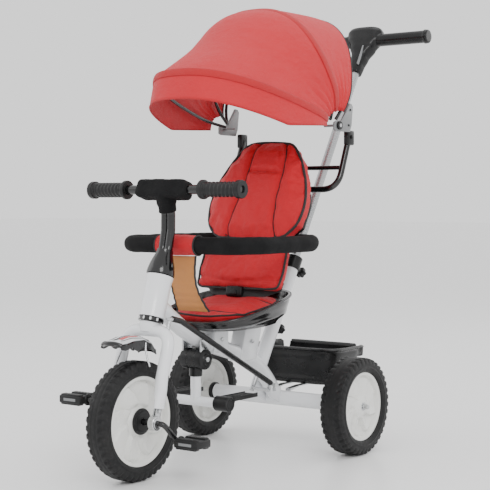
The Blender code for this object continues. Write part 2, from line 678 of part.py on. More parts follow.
ROOT = empty("tricycle", None, (0, FRONT_AXLE_Y, 0))
HEAD = empty("steering_axis", ROOT, (0, *HEAD_FOOT), STEER_TILT)
POST = empty("post_axis", ROOT, (0, *POST_FOOT), POST_TILT)
BACK = empty("back_plane", ROOT, (0, *BACK_FOOT), BACK_TILT)
HINGE = empty("canopy_axis", ROOT, (0, HINGE_Y, HINGE_Z))
WHEEL = empty("front_axle", ROOT, (0, 0, FRONT_RADIUS))
CRANK = empty("crank_axis", ROOT, (0, 0, FRONT_RADIUS))
PEDALS = [empty("pedal_axis_" + side, CRANK, (0, sign * CRANK_Y, sign * CRANK_Z))
          for side, sign in (("left", 1), ("right", -1))]
REAR = [empty("rear_wheel_axis_" + side, ROOT, (sign * REAR_TRACK_HALF, WHEELBASE, REAR_RADIUS))
        for side, sign in (("left", 1), ("right", -1))]
FOOT = empty("footrest_axis", ROOT, (0, *FOOT_PIVOT))
PLATES = [empty("plate_axis_" + side, FOOT, (0, 0, -FOOT_BAR_DROP)) for side in ("left", "right")]
KNOB = empty("knob_axis", POST, (0, 0, POST_LENGTH - 0.022))

build_frame(ROOT, HEAD, POST)
build_seat(ROOT)
build_back(ROOT, BACK)
build_ring(ROOT)
build_basket(ROOT)
build_canopy(ROOT, HINGE)
build_steering(HEAD)
build_fender(ROOT, HEAD)
build_front_wheel(WHEEL, CRANK)
build_pedal("pedal_left", PEDALS[0], 1)
build_pedal("pedal_right", PEDALS[1], -1)
build_rear_wheel("left", 1, REAR[0])
build_rear_wheel("right", -1, REAR[1])
build_push(POST, POST)
build_steering_rod(ROOT)
build_knob(KNOB)
build_footrest(ROOT, FOOT, PLATES)
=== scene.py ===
"""Looks of the children's tricycle: fabric, foam, paint, rubber and trim around the fixed frame."""

import json
import math

import bmesh
import bpy
from mathutils import Matrix, Vector, noise
from mathutils.bvhtree import BVHTree
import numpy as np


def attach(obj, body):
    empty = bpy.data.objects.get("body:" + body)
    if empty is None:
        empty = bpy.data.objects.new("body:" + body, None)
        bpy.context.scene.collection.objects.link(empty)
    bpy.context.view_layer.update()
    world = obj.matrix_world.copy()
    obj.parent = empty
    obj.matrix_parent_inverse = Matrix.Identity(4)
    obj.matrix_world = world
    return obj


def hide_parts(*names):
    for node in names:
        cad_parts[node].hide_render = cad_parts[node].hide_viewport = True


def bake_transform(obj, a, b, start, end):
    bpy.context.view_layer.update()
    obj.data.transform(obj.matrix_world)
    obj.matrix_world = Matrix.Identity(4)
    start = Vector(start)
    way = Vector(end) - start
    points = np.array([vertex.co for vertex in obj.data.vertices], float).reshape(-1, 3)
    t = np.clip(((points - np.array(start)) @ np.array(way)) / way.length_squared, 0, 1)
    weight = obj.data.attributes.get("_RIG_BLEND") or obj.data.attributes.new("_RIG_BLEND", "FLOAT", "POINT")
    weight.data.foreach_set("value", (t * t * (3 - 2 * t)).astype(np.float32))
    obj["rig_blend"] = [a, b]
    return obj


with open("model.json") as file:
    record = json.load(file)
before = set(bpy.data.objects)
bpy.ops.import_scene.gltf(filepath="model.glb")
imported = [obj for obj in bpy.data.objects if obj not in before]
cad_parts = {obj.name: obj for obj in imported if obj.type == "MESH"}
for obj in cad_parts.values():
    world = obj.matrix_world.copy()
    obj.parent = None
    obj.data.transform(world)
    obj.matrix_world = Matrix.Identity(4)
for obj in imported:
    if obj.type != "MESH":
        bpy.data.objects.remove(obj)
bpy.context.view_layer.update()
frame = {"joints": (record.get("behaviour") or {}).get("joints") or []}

JOINTS = {joint["name"]: joint for joint in frame["joints"]}


# ---------------------------------------------------------------- places read from the frame

def joint_place(name):
    return Vector(JOINTS[name]["pos_m"])


def upright(origin, axis=(0, 0, 1)):
    """A placing matrix whose X is the frame's X and whose Z lies along an axis."""
    across = Vector((1, 0, 0))
    along = Vector(axis).normalized()
    turn = Matrix((across, along.cross(across), along)).transposed()
    return Matrix.Translation(origin) @ turn.to_4x4()


FRONT_AXLE = joint_place("front_wheel_spin")
GROUND = Matrix.Translation((0, FRONT_AXLE.y, 0))
HEAD = upright(joint_place("steer"), JOINTS["steer"]["axis"])
POST = upright(joint_place("handle_turn"), JOINTS["handle_turn"]["axis"])
HINGE = Matrix.Translation(joint_place("canopy_mid_fold"))
FOOT = Matrix.Translation(joint_place("footrest_fold"))
KNOB = upright(joint_place("knob_turn"), JOINTS["knob_turn"]["axis"])
REAR = {side: Matrix.Translation(joint_place(f"rear_{side}_spin")) for side in ("left", "right")}
SIDES = (("left", 1), ("right", -1))

FRONT_RADIUS = FRONT_AXLE.z
REAR_RADIUS = joint_place("rear_left_spin").z
WHEELBASE = joint_place("rear_left_spin").y - FRONT_AXLE.y
BACK_TILT = math.radians(22)
BACK = GROUND @ Matrix.Translation((0, 0.383, 0.453)) @ Matrix.Rotation(-BACK_TILT, 4, "X")

# Driving sizes that the frame's boxes don't give
AXLE_IN_FORK = (0.0116, -0.2202)
FORK_HALF = 0.062
BAR_Y, BAR_Z = -0.044, 0.286
BAR_HALF = 0.215
LEVER_X = 0.052
MAIN_PATH = ((0.072, 0.377), (0.165, 0.316), (0.213, 0.291), (0.269, 0.270), (0.366, 0.243),
             (0.427, 0.224), (0.464, 0.198), (0.500, 0.163), (0.5300, 0.1265))
RING_FRONT, RING_REAR = 0.156, 0.4925
RING_HALF, RING_Z, RING_TUBE = 0.180, 0.505, 0.020
SEAT_Y, SEAT_Z = 0.337, 0.304
HINGE_X = 0.160
BOWS = {
    "rear": {"angle": 110.0, "radius": 0.290, "half": 0.190, "base": 0.1600},
    "mid": {"angle": 68.0, "radius": 0.293, "half": 0.186, "base": 0.1510},
    "front": {"angle": 15.0, "radius": 0.405, "half": 0.180, "base": 0.1400},
}
CLOTH_LIFT = 0.0045
CLOTH_START, CLOTH_SWEEP = 4, 172
VISOR_DROP, VISOR_SHARE = 0.062, 0.18
STAY_Y = 0.5675
BASKET_HALF, BASKET_FRONT, BASKET_REAR = 0.132, 0.600, 0.757
BASKET_FLOOR, BASKET_TOP = 0.142, 0.237
FOOT_BAR_DROP = 0.097
HANDLE_REACH = 0.976
POST_LENGTH = 0.305
PEDAL_OUT = 0.1530
CRANK_Y, CRANK_Z, CRANK_ARM_X = 0.0445, -0.0425, 0.083


def put(name, data):
    """A new object in the scene."""
    obj = bpy.data.objects.new(name, data)
    bpy.context.scene.collection.objects.link(obj)
    return obj


# ---------------------------------------------------------------- camera, light and floor

def make_camera():
    data = bpy.data.cameras.new("camera")
    data.sensor_width = 36
    data.lens = 95.99
    data.clip_start = 0.05
    camera = put("camera", data)
    camera.location = (1.8456, FRONT_AXLE.y - 2.1264, 0.6048)
    camera.rotation_euler = (math.radians(88.05), 0, math.radians(36.08))
    bpy.context.scene.camera = camera


def area_light(name, location, size, power):
    data = bpy.data.lights.new(name, "AREA")
    data.size = size
    data.energy = power
    lamp = put(name, data)
    lamp.location = location
    target = Vector((0, 0, 0.5))
    lamp.rotation_euler = (target - Vector(location)).to_track_quat("-Z", "Y").to_euler()


def make_studio():
    world = bpy.data.worlds.new("studio")
    bpy.context.scene.world = world
    world.use_nodes = True
    sky = world.node_tree.nodes["Background"]
    sky.inputs["Color"].default_value = (1.0, 1.0, 1.0, 1)
    sky.inputs["Strength"].default_value = 1.3
    area_light("key", (2.6, -2.6, 2.6), 1.6, 60)
    area_light("fill", (-3.0, -1.6, 1.8), 2.2, 14)
    area_light("top", (0.2, 0.4, 3.4), 2.0, 20)
    area_light("back", (1.2, 3.2, 2.2), 2.0, 20)

    bm = bmesh.new()
    bmesh.ops.create_grid(bm, x_segments=1, y_segments=1, size=30)
    mesh = bpy.data.meshes.new("floor")
    bm.to_mesh(mesh)
    bm.free()
    floor = put("floor", mesh)
    floor.location.z = -0.0004
    net = Net("floor")
    net.set(color=(0.93, 0.93, 0.93), roughness=0.35)
    mesh.materials.append(net.mat)


# ---------------------------------------------------------------- shader building

class Wire:
    """A shader socket that takes part in Python sums."""

    def __init__(self, net, socket):
        self.net = net
        self.socket = socket

    def math(self, operation, first, second=0.0):
        return self.net.node("Math", {0: first, 1: second}, operation=operation)

    def __add__(self, other):
        return self.math("ADD", self, other)

    def __mul__(self, other):
        return self.math("MULTIPLY", self, other)

    __radd__ = __add__
    __rmul__ = __mul__


class Net:
    """One material and the few steps that every finish uses."""

    def __init__(self, name):
        self.mat = bpy.data.materials.new(name)
        self.mat.use_nodes = True
        self.tree = self.mat.node_tree
        self.shader = self.tree.nodes["Principled BSDF"]
        self.place = None

    def node(self, kind, inputs=None, out=0, **settings):
        made = self.tree.nodes.new("ShaderNode" + kind)
        for key, value in settings.items():
            setattr(made, key, value)
        for key, value in (inputs or {}).items():
            self.feed(made.inputs[key], value)
        return Wire(self, made.outputs[out])

    def feed(self, socket, value):
        if isinstance(value, Wire):
            self.tree.links.new(value.socket, socket)
        elif isinstance(value, tuple) and len(value) == 3 and socket.type == "RGBA":
            socket.default_value = (*value, 1)
        else:
            socket.default_value = value

    def set(self, color=None, roughness=None, **others):
        """Put values or wires on the shader's own sockets."""
        sockets = {"Base Color": color, "Roughness": roughness}
        sockets.update({key.replace("_", " ").title(): value for key, value in others.items()})
        for key, value in sockets.items():
            if value is not None:
                self.feed(self.shader.inputs[key.replace("Ior", "IOR")], value)
        return self.mat

    def at(self):
        if self.place is None:
            self.place = self.node("TexCoord", out="Object")
        return self.place

    def noise(self, scale, detail=3.0, roughness=0.5, stretch=None):
        place = self.at()
        if stretch:
            place = self.node("Mapping", {"Vector": place, "Scale": stretch})
        inputs = {"Vector": place, "Scale": scale, "Detail": detail, "Roughness": roughness}
        return self.node("TexNoise", inputs)

    def ramp(self, value, low, high, dark=0.0, light=1.0):
        """A value's stretch from low to high, spread from dark to light."""
        inputs = {"Value": value, "From Min": low, "From Max": high,
                  "To Min": dark, "To Max": light}
        return self.node("MapRange", inputs)

    def mix(self, amount, first, second):
        inputs = {0: amount, 6: first, 7: second}
        return self.node("Mix", inputs, out=2, data_type="RGBA")

    def bump(self, height, distance, strength=1.0, after=None):
        inputs = {"Height": height, "Distance": distance, "Strength": strength}
        if after is not None:
            inputs["Normal"] = after
        return self.node("Bump", inputs)

    def axes(self):
        made = self.tree.nodes.new("ShaderNodeSeparateXYZ")
        self.feed(made.inputs[0], self.at())
        return [Wire(self, made.outputs[i]) for i in range(3)]

    def sine(self, wire, waves_per_metre):
        return wire.math("SINE", wire * (math.tau * waves_per_metre))


def weave(net, threads=900):
    """Crossed threads that show on a face whichever way it looks."""
    x, y, z = [net.sine(axis, threads) for axis in net.axes()]
    return x * y + y * z + x * z


def cloth_finish(name, color, dark, threads=900, wrinkle=0.0012, sheen=0.06, rough=0.66):
    net = Net(name)
    cloud = net.noise(9, 4)
    grain = net.noise(420, 2)
    threads = weave(net, threads)
    shade = net.ramp(cloud, 0.3, 0.7)
    tone = net.mix(net.ramp(threads, -1.2, 1.2, 0.0, 0.22), color, dark)
    tone = net.mix(shade * 0.22, tone, dark)
    rough_map = net.ramp(grain, 0.3, 0.7, rough - 0.06, rough + 0.08)
    folds = net.noise(26, 3, 0.55, (1.0, 1.0, 1.6))
    soft = net.bump(folds, wrinkle * 6, 0.5)
    normal = net.bump(threads * 0.5 + grain, 0.00035, 0.6, soft)
    return net.set(tone, rough_map, normal=normal, sheen_weight=sheen, sheen_roughness=0.4)


def paint_finish(name, color, rough, coat=0.0, dirt=0.05, metallic=0.0):
    net = Net(name)
    cloud = net.noise(14, 4)
    fine = net.noise(260, 2)
    tone = net.mix(net.ramp(cloud, 0.35, 0.75, 0, dirt), color, tuple(c * 0.72 for c in color))
    rough_map = net.ramp(fine, 0.3, 0.7, rough - 0.03, rough + 0.05)
    normal = net.bump(fine + cloud * 0.6, 0.00012, 0.35)
    net.set(tone, rough_map, normal=normal, metallic=metallic)
    return net.set(coat_weight=coat, coat_roughness=0.08)


def plastic_finish(name, color, rough, grain=700, depth=0.00018, lighten=0.35):
    """Moulded plastic: a fine spark texture, slightly polished and paler where it is worn."""
    net = Net(name)
    spark = net.node("TexVoronoi", {"Vector": net.at(), "Scale": grain})
    cloud = net.noise(22, 4)
    light = tuple(c + (0.05 - c) * lighten if c < 0.05 else c * 0.94 for c in color)
    tone = net.mix(net.ramp(cloud, 0.35, 0.8, 0, 0.5), color, light)
    rough_map = net.ramp(cloud, 0.3, 0.7, rough - 0.05, rough + 0.08)
    normal = net.bump(spark, depth, 0.5)
    net.set(specular_ior_level=0.30 if max(color) < 0.1 else 0.5)
    return net.set(tone, rough_map, normal=normal)


def rubber_finish(name):
    net = Net(name)
    cloud = net.noise(30, 5)
    dust = net.noise(160, 3)
    tone = net.mix(net.ramp(cloud, 0.4, 0.75, 0, 0.6), (0.006, 0.006, 0.0065),
                   (0.018, 0.0175, 0.017))
    rough_map = net.ramp(dust, 0.3, 0.7, 0.48, 0.66)
    net.set(specular_ior_level=0.32)
    return net.set(tone, rough_map, normal=net.bump(dust, 0.0003, 0.5))


def foam_finish(name):
    net = Net(name)
    cells = net.node("TexVoronoi", {"Vector": net.at(), "Scale": 650})
    cloud = net.noise(18, 4)
    dents = net.noise(55, 3, 0.6)
    tone = net.mix(net.ramp(cloud, 0.35, 0.75), (0.0045, 0.0045, 0.005), (0.012, 0.012, 0.0125))
    normal = net.bump(cells, 0.0004, 0.6, net.bump(dents, 0.0022, 0.45))
    net.set(specular_ior_level=0.18)
    return net.set(tone, net.ramp(cells, 0.1, 0.7, 0.72, 0.92), normal=normal)


def steel_finish(name, color=(0.62, 0.63, 0.64), rough=0.24):
    net = Net(name)
    brushed = net.noise(180, 3, 0.6, (0.25, 1.0, 1.0))
    cloud = net.noise(30, 4)
    tone = net.mix(net.ramp(cloud, 0.3, 0.75, 0, 0.7), color, tuple(c * 0.72 for c in color))
    rough_map = net.ramp(brushed, 0.3, 0.7, rough - 0.06, rough + 0.12)
    return net.set(tone, rough_map, metallic=1.0, normal=net.bump(brushed, 0.00008, 0.4))


def make_finishes():
    red, deep_red = (0.62, 0.002, 0.013), (0.36, 0.001, 0.004)
    return {
        "red_fabric": cloth_finish("red_fabric", red, deep_red),
        "canopy_fabric": cloth_finish("canopy_fabric", (0.60, 0.003, 0.014), (0.40, 0.001, 0.005),
                                      750, 0.0016, 0.0, 0.55),
        "casing_fabric": cloth_finish("casing_fabric", (0.48, 0.002, 0.008), deep_red, 750, 0.0006),
        "tan_fabric": cloth_finish("tan_fabric", (0.62, 0.26, 0.075), (0.40, 0.15, 0.04), 800),
        "piping": cloth_finish("piping", (0.022, 0.021, 0.021), (0.008, 0.008, 0.008),
                               1400, 0.0003),
        "webbing": cloth_finish("webbing", (0.030, 0.029, 0.030), (0.009, 0.009, 0.009),
                                500, 0.0004),
        "white_paint": paint_finish("white_paint", (0.83, 0.84, 0.86), 0.20, 0.5),
        "black_metal": paint_finish("black_metal", (0.006, 0.006, 0.0065), 0.24, 0.2),
        "gloss_black": paint_finish("gloss_black", (0.004, 0.004, 0.0045), 0.14, 0.25),
        "white_plastic": plastic_finish("white_plastic", (0.80, 0.80, 0.77), 0.24, 400, 0.00006),
        "black_plastic": plastic_finish("black_plastic", (0.007, 0.007, 0.0075), 0.38),
        "satin_black": plastic_finish("satin_black", (0.006, 0.006, 0.0065), 0.26, 500, 0.00008),
        "grey_plastic": plastic_finish("grey_plastic", (0.20, 0.205, 0.21), 0.34, 500, 0.0001),
        "bright_trim": plastic_finish("bright_trim", (0.74, 0.75, 0.76), 0.16, 300, 0.00004),
        "red_plastic": plastic_finish("red_plastic", (0.55, 0.012, 0.016), 0.22, 500, 0.00006),
        "tyre_rubber": rubber_finish("tyre_rubber"),
        "black_foam": foam_finish("black_foam"),
        "steel": steel_finish("steel"),
        "push_steel": paint_finish("push_steel", (0.42, 0.43, 0.44), 0.26, 0.3, 0.12, 0.6),
    }


# ---------------------------------------------------------------- modelling tools

def modify(obj, mods):
    """Add modifiers, given as (kind, settings) pairs."""
    for kind, settings in mods:
        mod = obj.modifiers.new(kind.lower(), kind)
        for key, value in settings.items():
            setattr(mod, key, value)


def piece(name, bm, body, finish, place=None, nodes=(), sharp=38, live=()):
    """Finish a bmesh as a piece of the object, mounted on a body."""
    if place is not None:
        bmesh.ops.transform(bm, matrix=place, verts=bm.verts)
    bmesh.ops.remove_doubles(bm, verts=bm.verts, dist=2e-6)
    bmesh.ops.recalc_face_normals(bm, faces=bm.faces)
    mesh = bpy.data.meshes.new(name)
    bm.to_mesh(mesh)
    bm.free()
    obj = put(name, mesh)
    mesh.materials.append(FINISHES[finish])
    mesh.shade_smooth()
    mesh.set_sharp_from_angle(angle=math.radians(sharp))
    modify(obj, live)
    if body:
        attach(obj, body)
    if nodes:
        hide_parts(*nodes)
    return obj


def merged(*parts):
    """Several bmeshes as one."""
    whole = bmesh.new()
    for part in parts:
        mesh = bpy.data.meshes.new("part")
        part.to_mesh(mesh)
        part.free()
        whole.from_mesh(mesh)
        bpy.data.meshes.remove(mesh)
    return whole


def moved(bm, matrix):
    bmesh.ops.transform(bm, matrix=matrix, verts=bm.verts)
    return bm


def shift(bm, x=0.0, y=0.0, z=0.0):
    return moved(bm, Matrix.Translation((x, y, z)))


def sided(bm, sign):
    """A shape made for the left side, turned over for the right when sign is -1."""
    return moved(bm, Matrix.Scale(sign, 4, (1, 0, 0)))


def lying(bm):
    """Turn a shape built along Z to lie along X."""
    return moved(bm, Matrix.Rotation(math.pi / 2, 4, "Y"))


def rounded(points, radius, steps=8):
    """A polyline with its inner corners turned into arcs; radius is one for all or a list."""
    points = [Vector(p) for p in points]
    radii = radius if isinstance(radius, list) else [radius] * (len(points) - 2)
    path = [points[0]]
    for before, corner, after, bend in zip(points, points[1:], points[2:], radii):
        to_before = (before - corner).normalized()
        to_after = (after - corner).normalized()
        half = to_before.angle(to_after) / 2
        reach = min(bend / math.tan(half), 0.49 * (before - corner).length,
                    0.49 * (after - corner).length)
        start = corner + to_before * reach
        end = corner + to_after * reach
        for i in range(steps + 1):
            t = i / steps
            path.append(start * (1 - t) ** 2 + corner * 2 * t * (1 - t) + end * t ** 2)
    path.append(points[-1])
    return path


def tube(points, radius, sides=24, cyclic=False):
    """A round bar along a path."""
    curve = bpy.data.curves.new("tube", "CURVE")
    curve.dimensions = "3D"
    curve.bevel_depth = radius
    curve.bevel_resolution = (sides - 4) // 2
    curve.use_fill_caps = not cyclic
    spline = curve.splines.new("POLY")
    spline.points.add(len(points) - 1)
    for point, co in zip(spline.points, points):
        point.co = (*co, 1.0)
    spline.use_cyclic_u = cyclic
    guide = put("tube", curve)
    bpy.context.view_layer.update()
    mesh = bpy.data.meshes.new_from_object(guide)
    bm = bmesh.new()
    bm.from_mesh(mesh)
    bpy.data.objects.remove(guide)
    bpy.data.meshes.remove(mesh)
    bpy.data.curves.remove(curve)
    return bm


def spun(profile, steps=64, closed=False):
    """Spin (radius, height) points round Z."""
    bm = bmesh.new()
    verts = [bm.verts.new((radius, 0, height)) for radius, height in profile]
    edges = [bm.edges.new(pair) for pair in zip(verts, verts[1:])]
    if closed:
        edges.append(bm.edges.new((verts[-1], verts[0])))
    bmesh.ops.spin(bm, geom=verts + edges, cent=(0, 0, 0), axis=(0, 0, 1), angle=math.tau,
                   steps=steps, use_merge=True)
    return bm


def soft_edges(bm, width, segments=2, angle=30):
    """Round every edge that folds by more than the angle."""
    limit = math.radians(angle)
    bmesh.ops.remove_doubles(bm, verts=bm.verts, dist=1e-6)
    edges = [e for e in bm.edges if len(e.link_faces) == 2 and e.calc_face_angle(0) > limit]
    bmesh.ops.bevel(bm, geom=edges, offset=width, segments=segments, profile=0.5,
                    affect="EDGES", material=-1, clamp_overlap=True)
    return bm


def rod(radius, low, high, edge=0.0008, steps=32):
    """A solid round bar along Z with its end edges eased."""
    edge = min(edge, radius * 0.4, (high - low) * 0.3)
    return spun(((0, low), (radius - edge, low), (radius, low + edge), (radius, high - edge),
                 (radius - edge, high), (0, high)), steps)


def washer(inner, outer, low, high, edge=0.0006, steps=40):
    return spun(((inner, low), (outer - edge, low), (outer, low + edge), (outer, high - edge),
                 (outer - edge, high), (inner, high)), steps, True)


def block(low, high, edge=0.002, segments=3):
    bm = bmesh.new()
    bmesh.ops.create_cube(bm, size=1)
    low, high = Vector(low), Vector(high)
    bmesh.ops.scale(bm, verts=bm.verts, vec=high - low)
    bmesh.ops.translate(bm, verts=bm.verts, vec=(low + high) / 2)
    bmesh.ops.bevel(bm, geom=bm.edges[:], offset=edge, segments=segments, profile=0.5,
                    affect="EDGES", material=-1)
    return bm


def skin(columns, rows, where):
    """A grid whose corner (u, v), each from 0 to 1, goes where a function puts it."""
    bm = bmesh.new()
    bmesh.ops.create_grid(bm, x_segments=columns, y_segments=rows, size=0.5)
    for vert in bm.verts:
        vert.co = where(vert.co.x + 0.5, vert.co.y + 0.5)
    return bm


def ellipse(u, half_x, half_y, power=2.0):
    """A point on a rounded rectangle; u runs once round it."""
    c, s = math.cos(math.tau * u), math.sin(math.tau * u)
    return (math.copysign(abs(c) ** (2 / power), c) * half_x,
            math.copysign(abs(s) ** (2 / power), s) * half_y)


def eased(t):
    t = max(0.0, min(1.0, t))
    return t * t * (3 - 2 * t)


def table_at(rows, t):
    """Smooth reading between rows of (position, values...)."""
    for low, high in zip(rows, rows[1:]):
        if t <= high[0]:
            part = eased((t - low[0]) / (high[0] - low[0]))
            return [a + (b - a) * part for a, b in zip(low[1:], high[1:])]
    return list(rows[-1][1:])


def slab(points, push):
    """A flat outline drawn out along a vector."""
    bm = bmesh.new()
    face = bm.faces.new([bm.verts.new(point) for point in points])
    grown = bmesh.ops.extrude_face_region(bm, geom=[face])
    far = [v for v in grown["geom"] if isinstance(v, bmesh.types.BMVert)]
    bmesh.ops.translate(bm, verts=far, vec=push)
    bmesh.ops.recalc_face_normals(bm, faces=bm.faces)
    return bm


def plate(outline, low, high, edge=0.001):
    """An outline of (y, z) points, thickened across X from low to high."""
    return soft_edges(slab([(low, y, z) for y, z in outline], (high - low, 0, 0)), edge)


def domes(points, radius, height=0.5, steps=16):
    """Low round heads, such as rivets, at points on a plane facing +Z."""
    heads = []
    for x, y, z in points:
        arc = [(radius * math.cos(a), height * radius * math.sin(a))
               for a in [math.pi / 2 * i / 5 for i in range(6)]]
        arc = [(radius, -0.3 * radius), *arc[:-1], (0, height * radius)]
        arc = [(0, -0.3 * radius), *arc]
        heads.append(shift(spun(arc, steps), x, y, z))
    return merged(*heads)


def finer(points, step):
    """A closed outline with its long sides split."""
    return dense([*points, points[0]], step)[:-1]


def ring_skin(profile, columns, shape=None):
    """A closed (radius, x) profile carried round X; shape(radius, x, turn) may move a point."""
    rows = len(profile)

    def where(u, v):
        radius, x = profile[round(v * rows) % rows]
        if shape:
            radius, x = shape(radius, x, u)
        return Vector((x, radius * math.sin(math.tau * u), radius * math.cos(math.tau * u)))
    return skin(columns, rows, where)


def mirrored(profile):
    """A half profile of (radius, x) points with its mirror image, as one closed outline."""
    return [*profile, *[(radius, -x) for radius, x in reversed(profile)]]


def evaluated(bm, *mods):
    """The shape after modifiers."""
    mesh = bpy.data.meshes.new("blank")
    bm.to_mesh(mesh)
    bm.free()
    obj = put("blank", mesh)
    modify(obj, mods)
    bpy.context.view_layer.update()
    made = bpy.data.meshes.new_from_object(
        obj.evaluated_get(bpy.context.evaluated_depsgraph_get()))
    out = bmesh.new()
    out.from_mesh(made)
    bpy.data.objects.remove(obj)
    bpy.data.meshes.remove(mesh)
    bpy.data.meshes.remove(made)
    return out


def voxels(size):
    return ("REMESH", {"mode": "VOXEL", "voxel_size": size})


def fused(*parts, voxel=0.002, smooth=6):
    """Shapes grown into one moulded piece with soft inner corners."""
    return evaluated(merged(*parts), voxels(voxel), ("SMOOTH", {"iterations": smooth}))


def stuffed(bm, cap, hold, freedom, voxel=0.005, pressure=4.0):
    """Swell a closed cover as cloth under pressure; hold and freedom limit how a point moves."""
    bm = evaluated(bm, voxels(voxel), ("SMOOTH", {"iterations": 4}))
    mesh = bpy.data.meshes.new("cover")
    bm.to_mesh(mesh)
    obj = put("cover", mesh)
    settings = obj.modifiers.new("cloth", "CLOTH").settings
    settings.quality = 4
    settings.use_pressure = True
    settings.uniform_pressure_force = pressure
    settings.effector_weights.gravity = 0.0
    for step in range(1, 21):
        bpy.context.scene.frame_set(step)
    swollen = obj.evaluated_get(bpy.context.evaluated_depsgraph_get()).data
    for vert, grown in zip(bm.verts, [v.co.copy() for v in swollen.vertices]):
        move = grown - vert.co
        if move.length > cap:
            move *= cap / move.length
        vert.co += move * Vector(freedom) * hold(vert.co)
    bpy.data.objects.remove(obj)
    bpy.data.meshes.remove(mesh)
    bpy.context.scene.frame_set(1)
    return evaluated(bm, ("SUBSURF", {"levels": 1, "render_levels": 1}))


def flat_distance(point, line):
    """Distance on a plane from a point to a polyline."""
    best = 1.0
    for start, end in zip(line, line[1:]):
        start, end = Vector(start), Vector(end)
        along = end - start
        t = max(0.0, min(1.0, (point - start).dot(along) / along.length_squared))
        best = min(best, (point - start - along * t).length)
    return best


def creased(bm, lines, depth, width, plane=(0, 2), inward=(0, 1, 0)):
    """Press sewn channels into the side that looks against inward."""
    inward = Vector(inward)
    bm.normal_update()
    for vert in bm.verts:
        facing = -vert.normal.dot(inward)
        if facing <= 0.1:
            continue
        flat = Vector((vert.co[plane[0]], vert.co[plane[1]]))
        near = min(flat_distance(flat, line) for line in lines)
        vert.co += inward * depth * math.exp(-(near / width) ** 2) * min(1.0, facing * 1.5)
    return bm


def rumpled(bm, depth, size, seed, keep=None):
    """Soft irregular hollows, the same at every run."""
    bm.normal_update()
    offset = Vector((seed * 3.1, seed * 1.7, seed * 5.3))
    for vert in bm.verts:
        amount = noise.noise(vert.co / size + offset) + 0.5 * noise.noise(vert.co * 2.3 / size)
        vert.co += vert.normal * depth * amount * (keep(vert.co) if keep else 1.0)
    return bm


def laid(surface, points, direction, lift=0.0):
    """Points dropped on a surface along a direction."""
    tree = BVHTree.FromBMesh(surface)
    direction = Vector(direction)
    found = []
    for point in points:
        hit = tree.ray_cast(Vector(point) - direction * 0.3, direction)[0]
        hit = hit or tree.find_nearest(Vector(point))[0]
        found.append(hit - direction * lift)
    return found


def hugging(surface, points, lift=0.0008):
    """A ring of points drawn onto the nearest part of a surface."""
    tree = BVHTree.FromBMesh(surface)
    found = [tree.find_nearest(point) for point in points]
    return [place + normal * lift for place, normal, *_ in found]


def dense(points, step=0.006):
    """A line with points at even steps."""
    out = []
    for start, end in zip(points, points[1:]):
        start, end = Vector(start), Vector(end)
        count = max(1, round((end - start).length / step))
        out += [start.lerp(end, i / count) for i in range(count)]
    return [*out, Vector(points[-1])]


FINISHES = make_finishes()
make_camera()
make_studio()


# ---------------------------------------------------------------- wheels

def tread(groove_count, groove_depth, radius, shoulder):
    """Shoulder grooves in a zigzag, with a smooth band round the middle and on the side."""
    def shape(r, x, turn):
        side = abs(x)
        zone = eased((r - radius * 0.865) / 0.004) * eased((side - shoulder) / 0.003)
        zigzag = 0.30 * abs(((side - shoulder) / 0.011) % 2 - 1)
        phase = (turn * groove_count + zigzag + (0.5 if x > 0 else 0)) % 1
        cut = eased((0.23 - abs(phase - 0.5)) / 0.08) * zone
        middle = math.exp(-((side - shoulder * 0.55) / 0.0011) ** 2) * (r > radius * 0.98)
        depth = groove_depth * (cut + 0.35 * middle)
        return r - depth * min(1.0, (r - radius * 0.86) / (radius * 0.10)), x * (1 - depth * 6)
    return shape


def tyre(radius, bead, half_bead, half_side, half_top, columns, grooves):
    wall = radius - bead
    side = [(bead, half_bead), (bead + wall * 0.10, half_side * 0.94),
            (bead + wall * 0.22, half_side), (bead + wall * 0.28, half_side),
            (bead + wall * 0.30, half_side + 0.0007), (bead + wall * 0.36, half_side + 0.0007),
            (bead + wall * 0.38, half_side), (bead + wall * 0.62, half_side * 0.995),
            (bead + wall * 0.76, half_side * 0.96), (radius - wall * 0.13, half_side * 0.88),
            (radius - wall * 0.05, half_top * 1.16), (radius - wall * 0.010, half_top * 0.86),
            (radius, half_top * 0.45)]
    profile = finer(mirrored(side), 0.0024)
    return ring_skin(profile, columns, tread(grooves, 0.0030, radius, half_top * 0.55))


def blades(count, inner, outer, height, sweep):
    """Curved steps round a wheel face, each rising slowly and falling back at once."""
    def shape(r, x, turn):
        if abs(x) > 0.0215 or not inner < r < outer:
            return r, x
        part = (r - inner) / (outer - inner)
        phase = (turn * count + sweep * part ** 1.3) % 1
        rise = phase / 0.93 if phase < 0.93 else (1 - phase) / 0.07
        fade = eased(part / 0.16) * eased((1 - part) / 0.14)
        return r, x + math.copysign(height * rise * fade, x)
    return shape


def wheel_disc(face, back, lip, columns=252):
    """A moulded wheel from its outer face and inner face, each from hub to lip."""
    outline = [*face, (lip, face[-1][1]), (lip, back[-1][1]), *reversed(back)]
    inner, outer = face[2][0], face[-3][0]
    return ring_skin(finer(outline, 0.0028), columns, blades(8, inner, outer, 0.0100, 0.55))


def hex_nut(across, low, high):
    nut = bmesh.new()
    bmesh.ops.create_cone(nut, segments=6, cap_ends=True, radius1=across, radius2=across,
                          depth=high - low)
    shift(nut, z=(low + high) / 2)
    return soft_edges(nut, across * 0.10, 2)


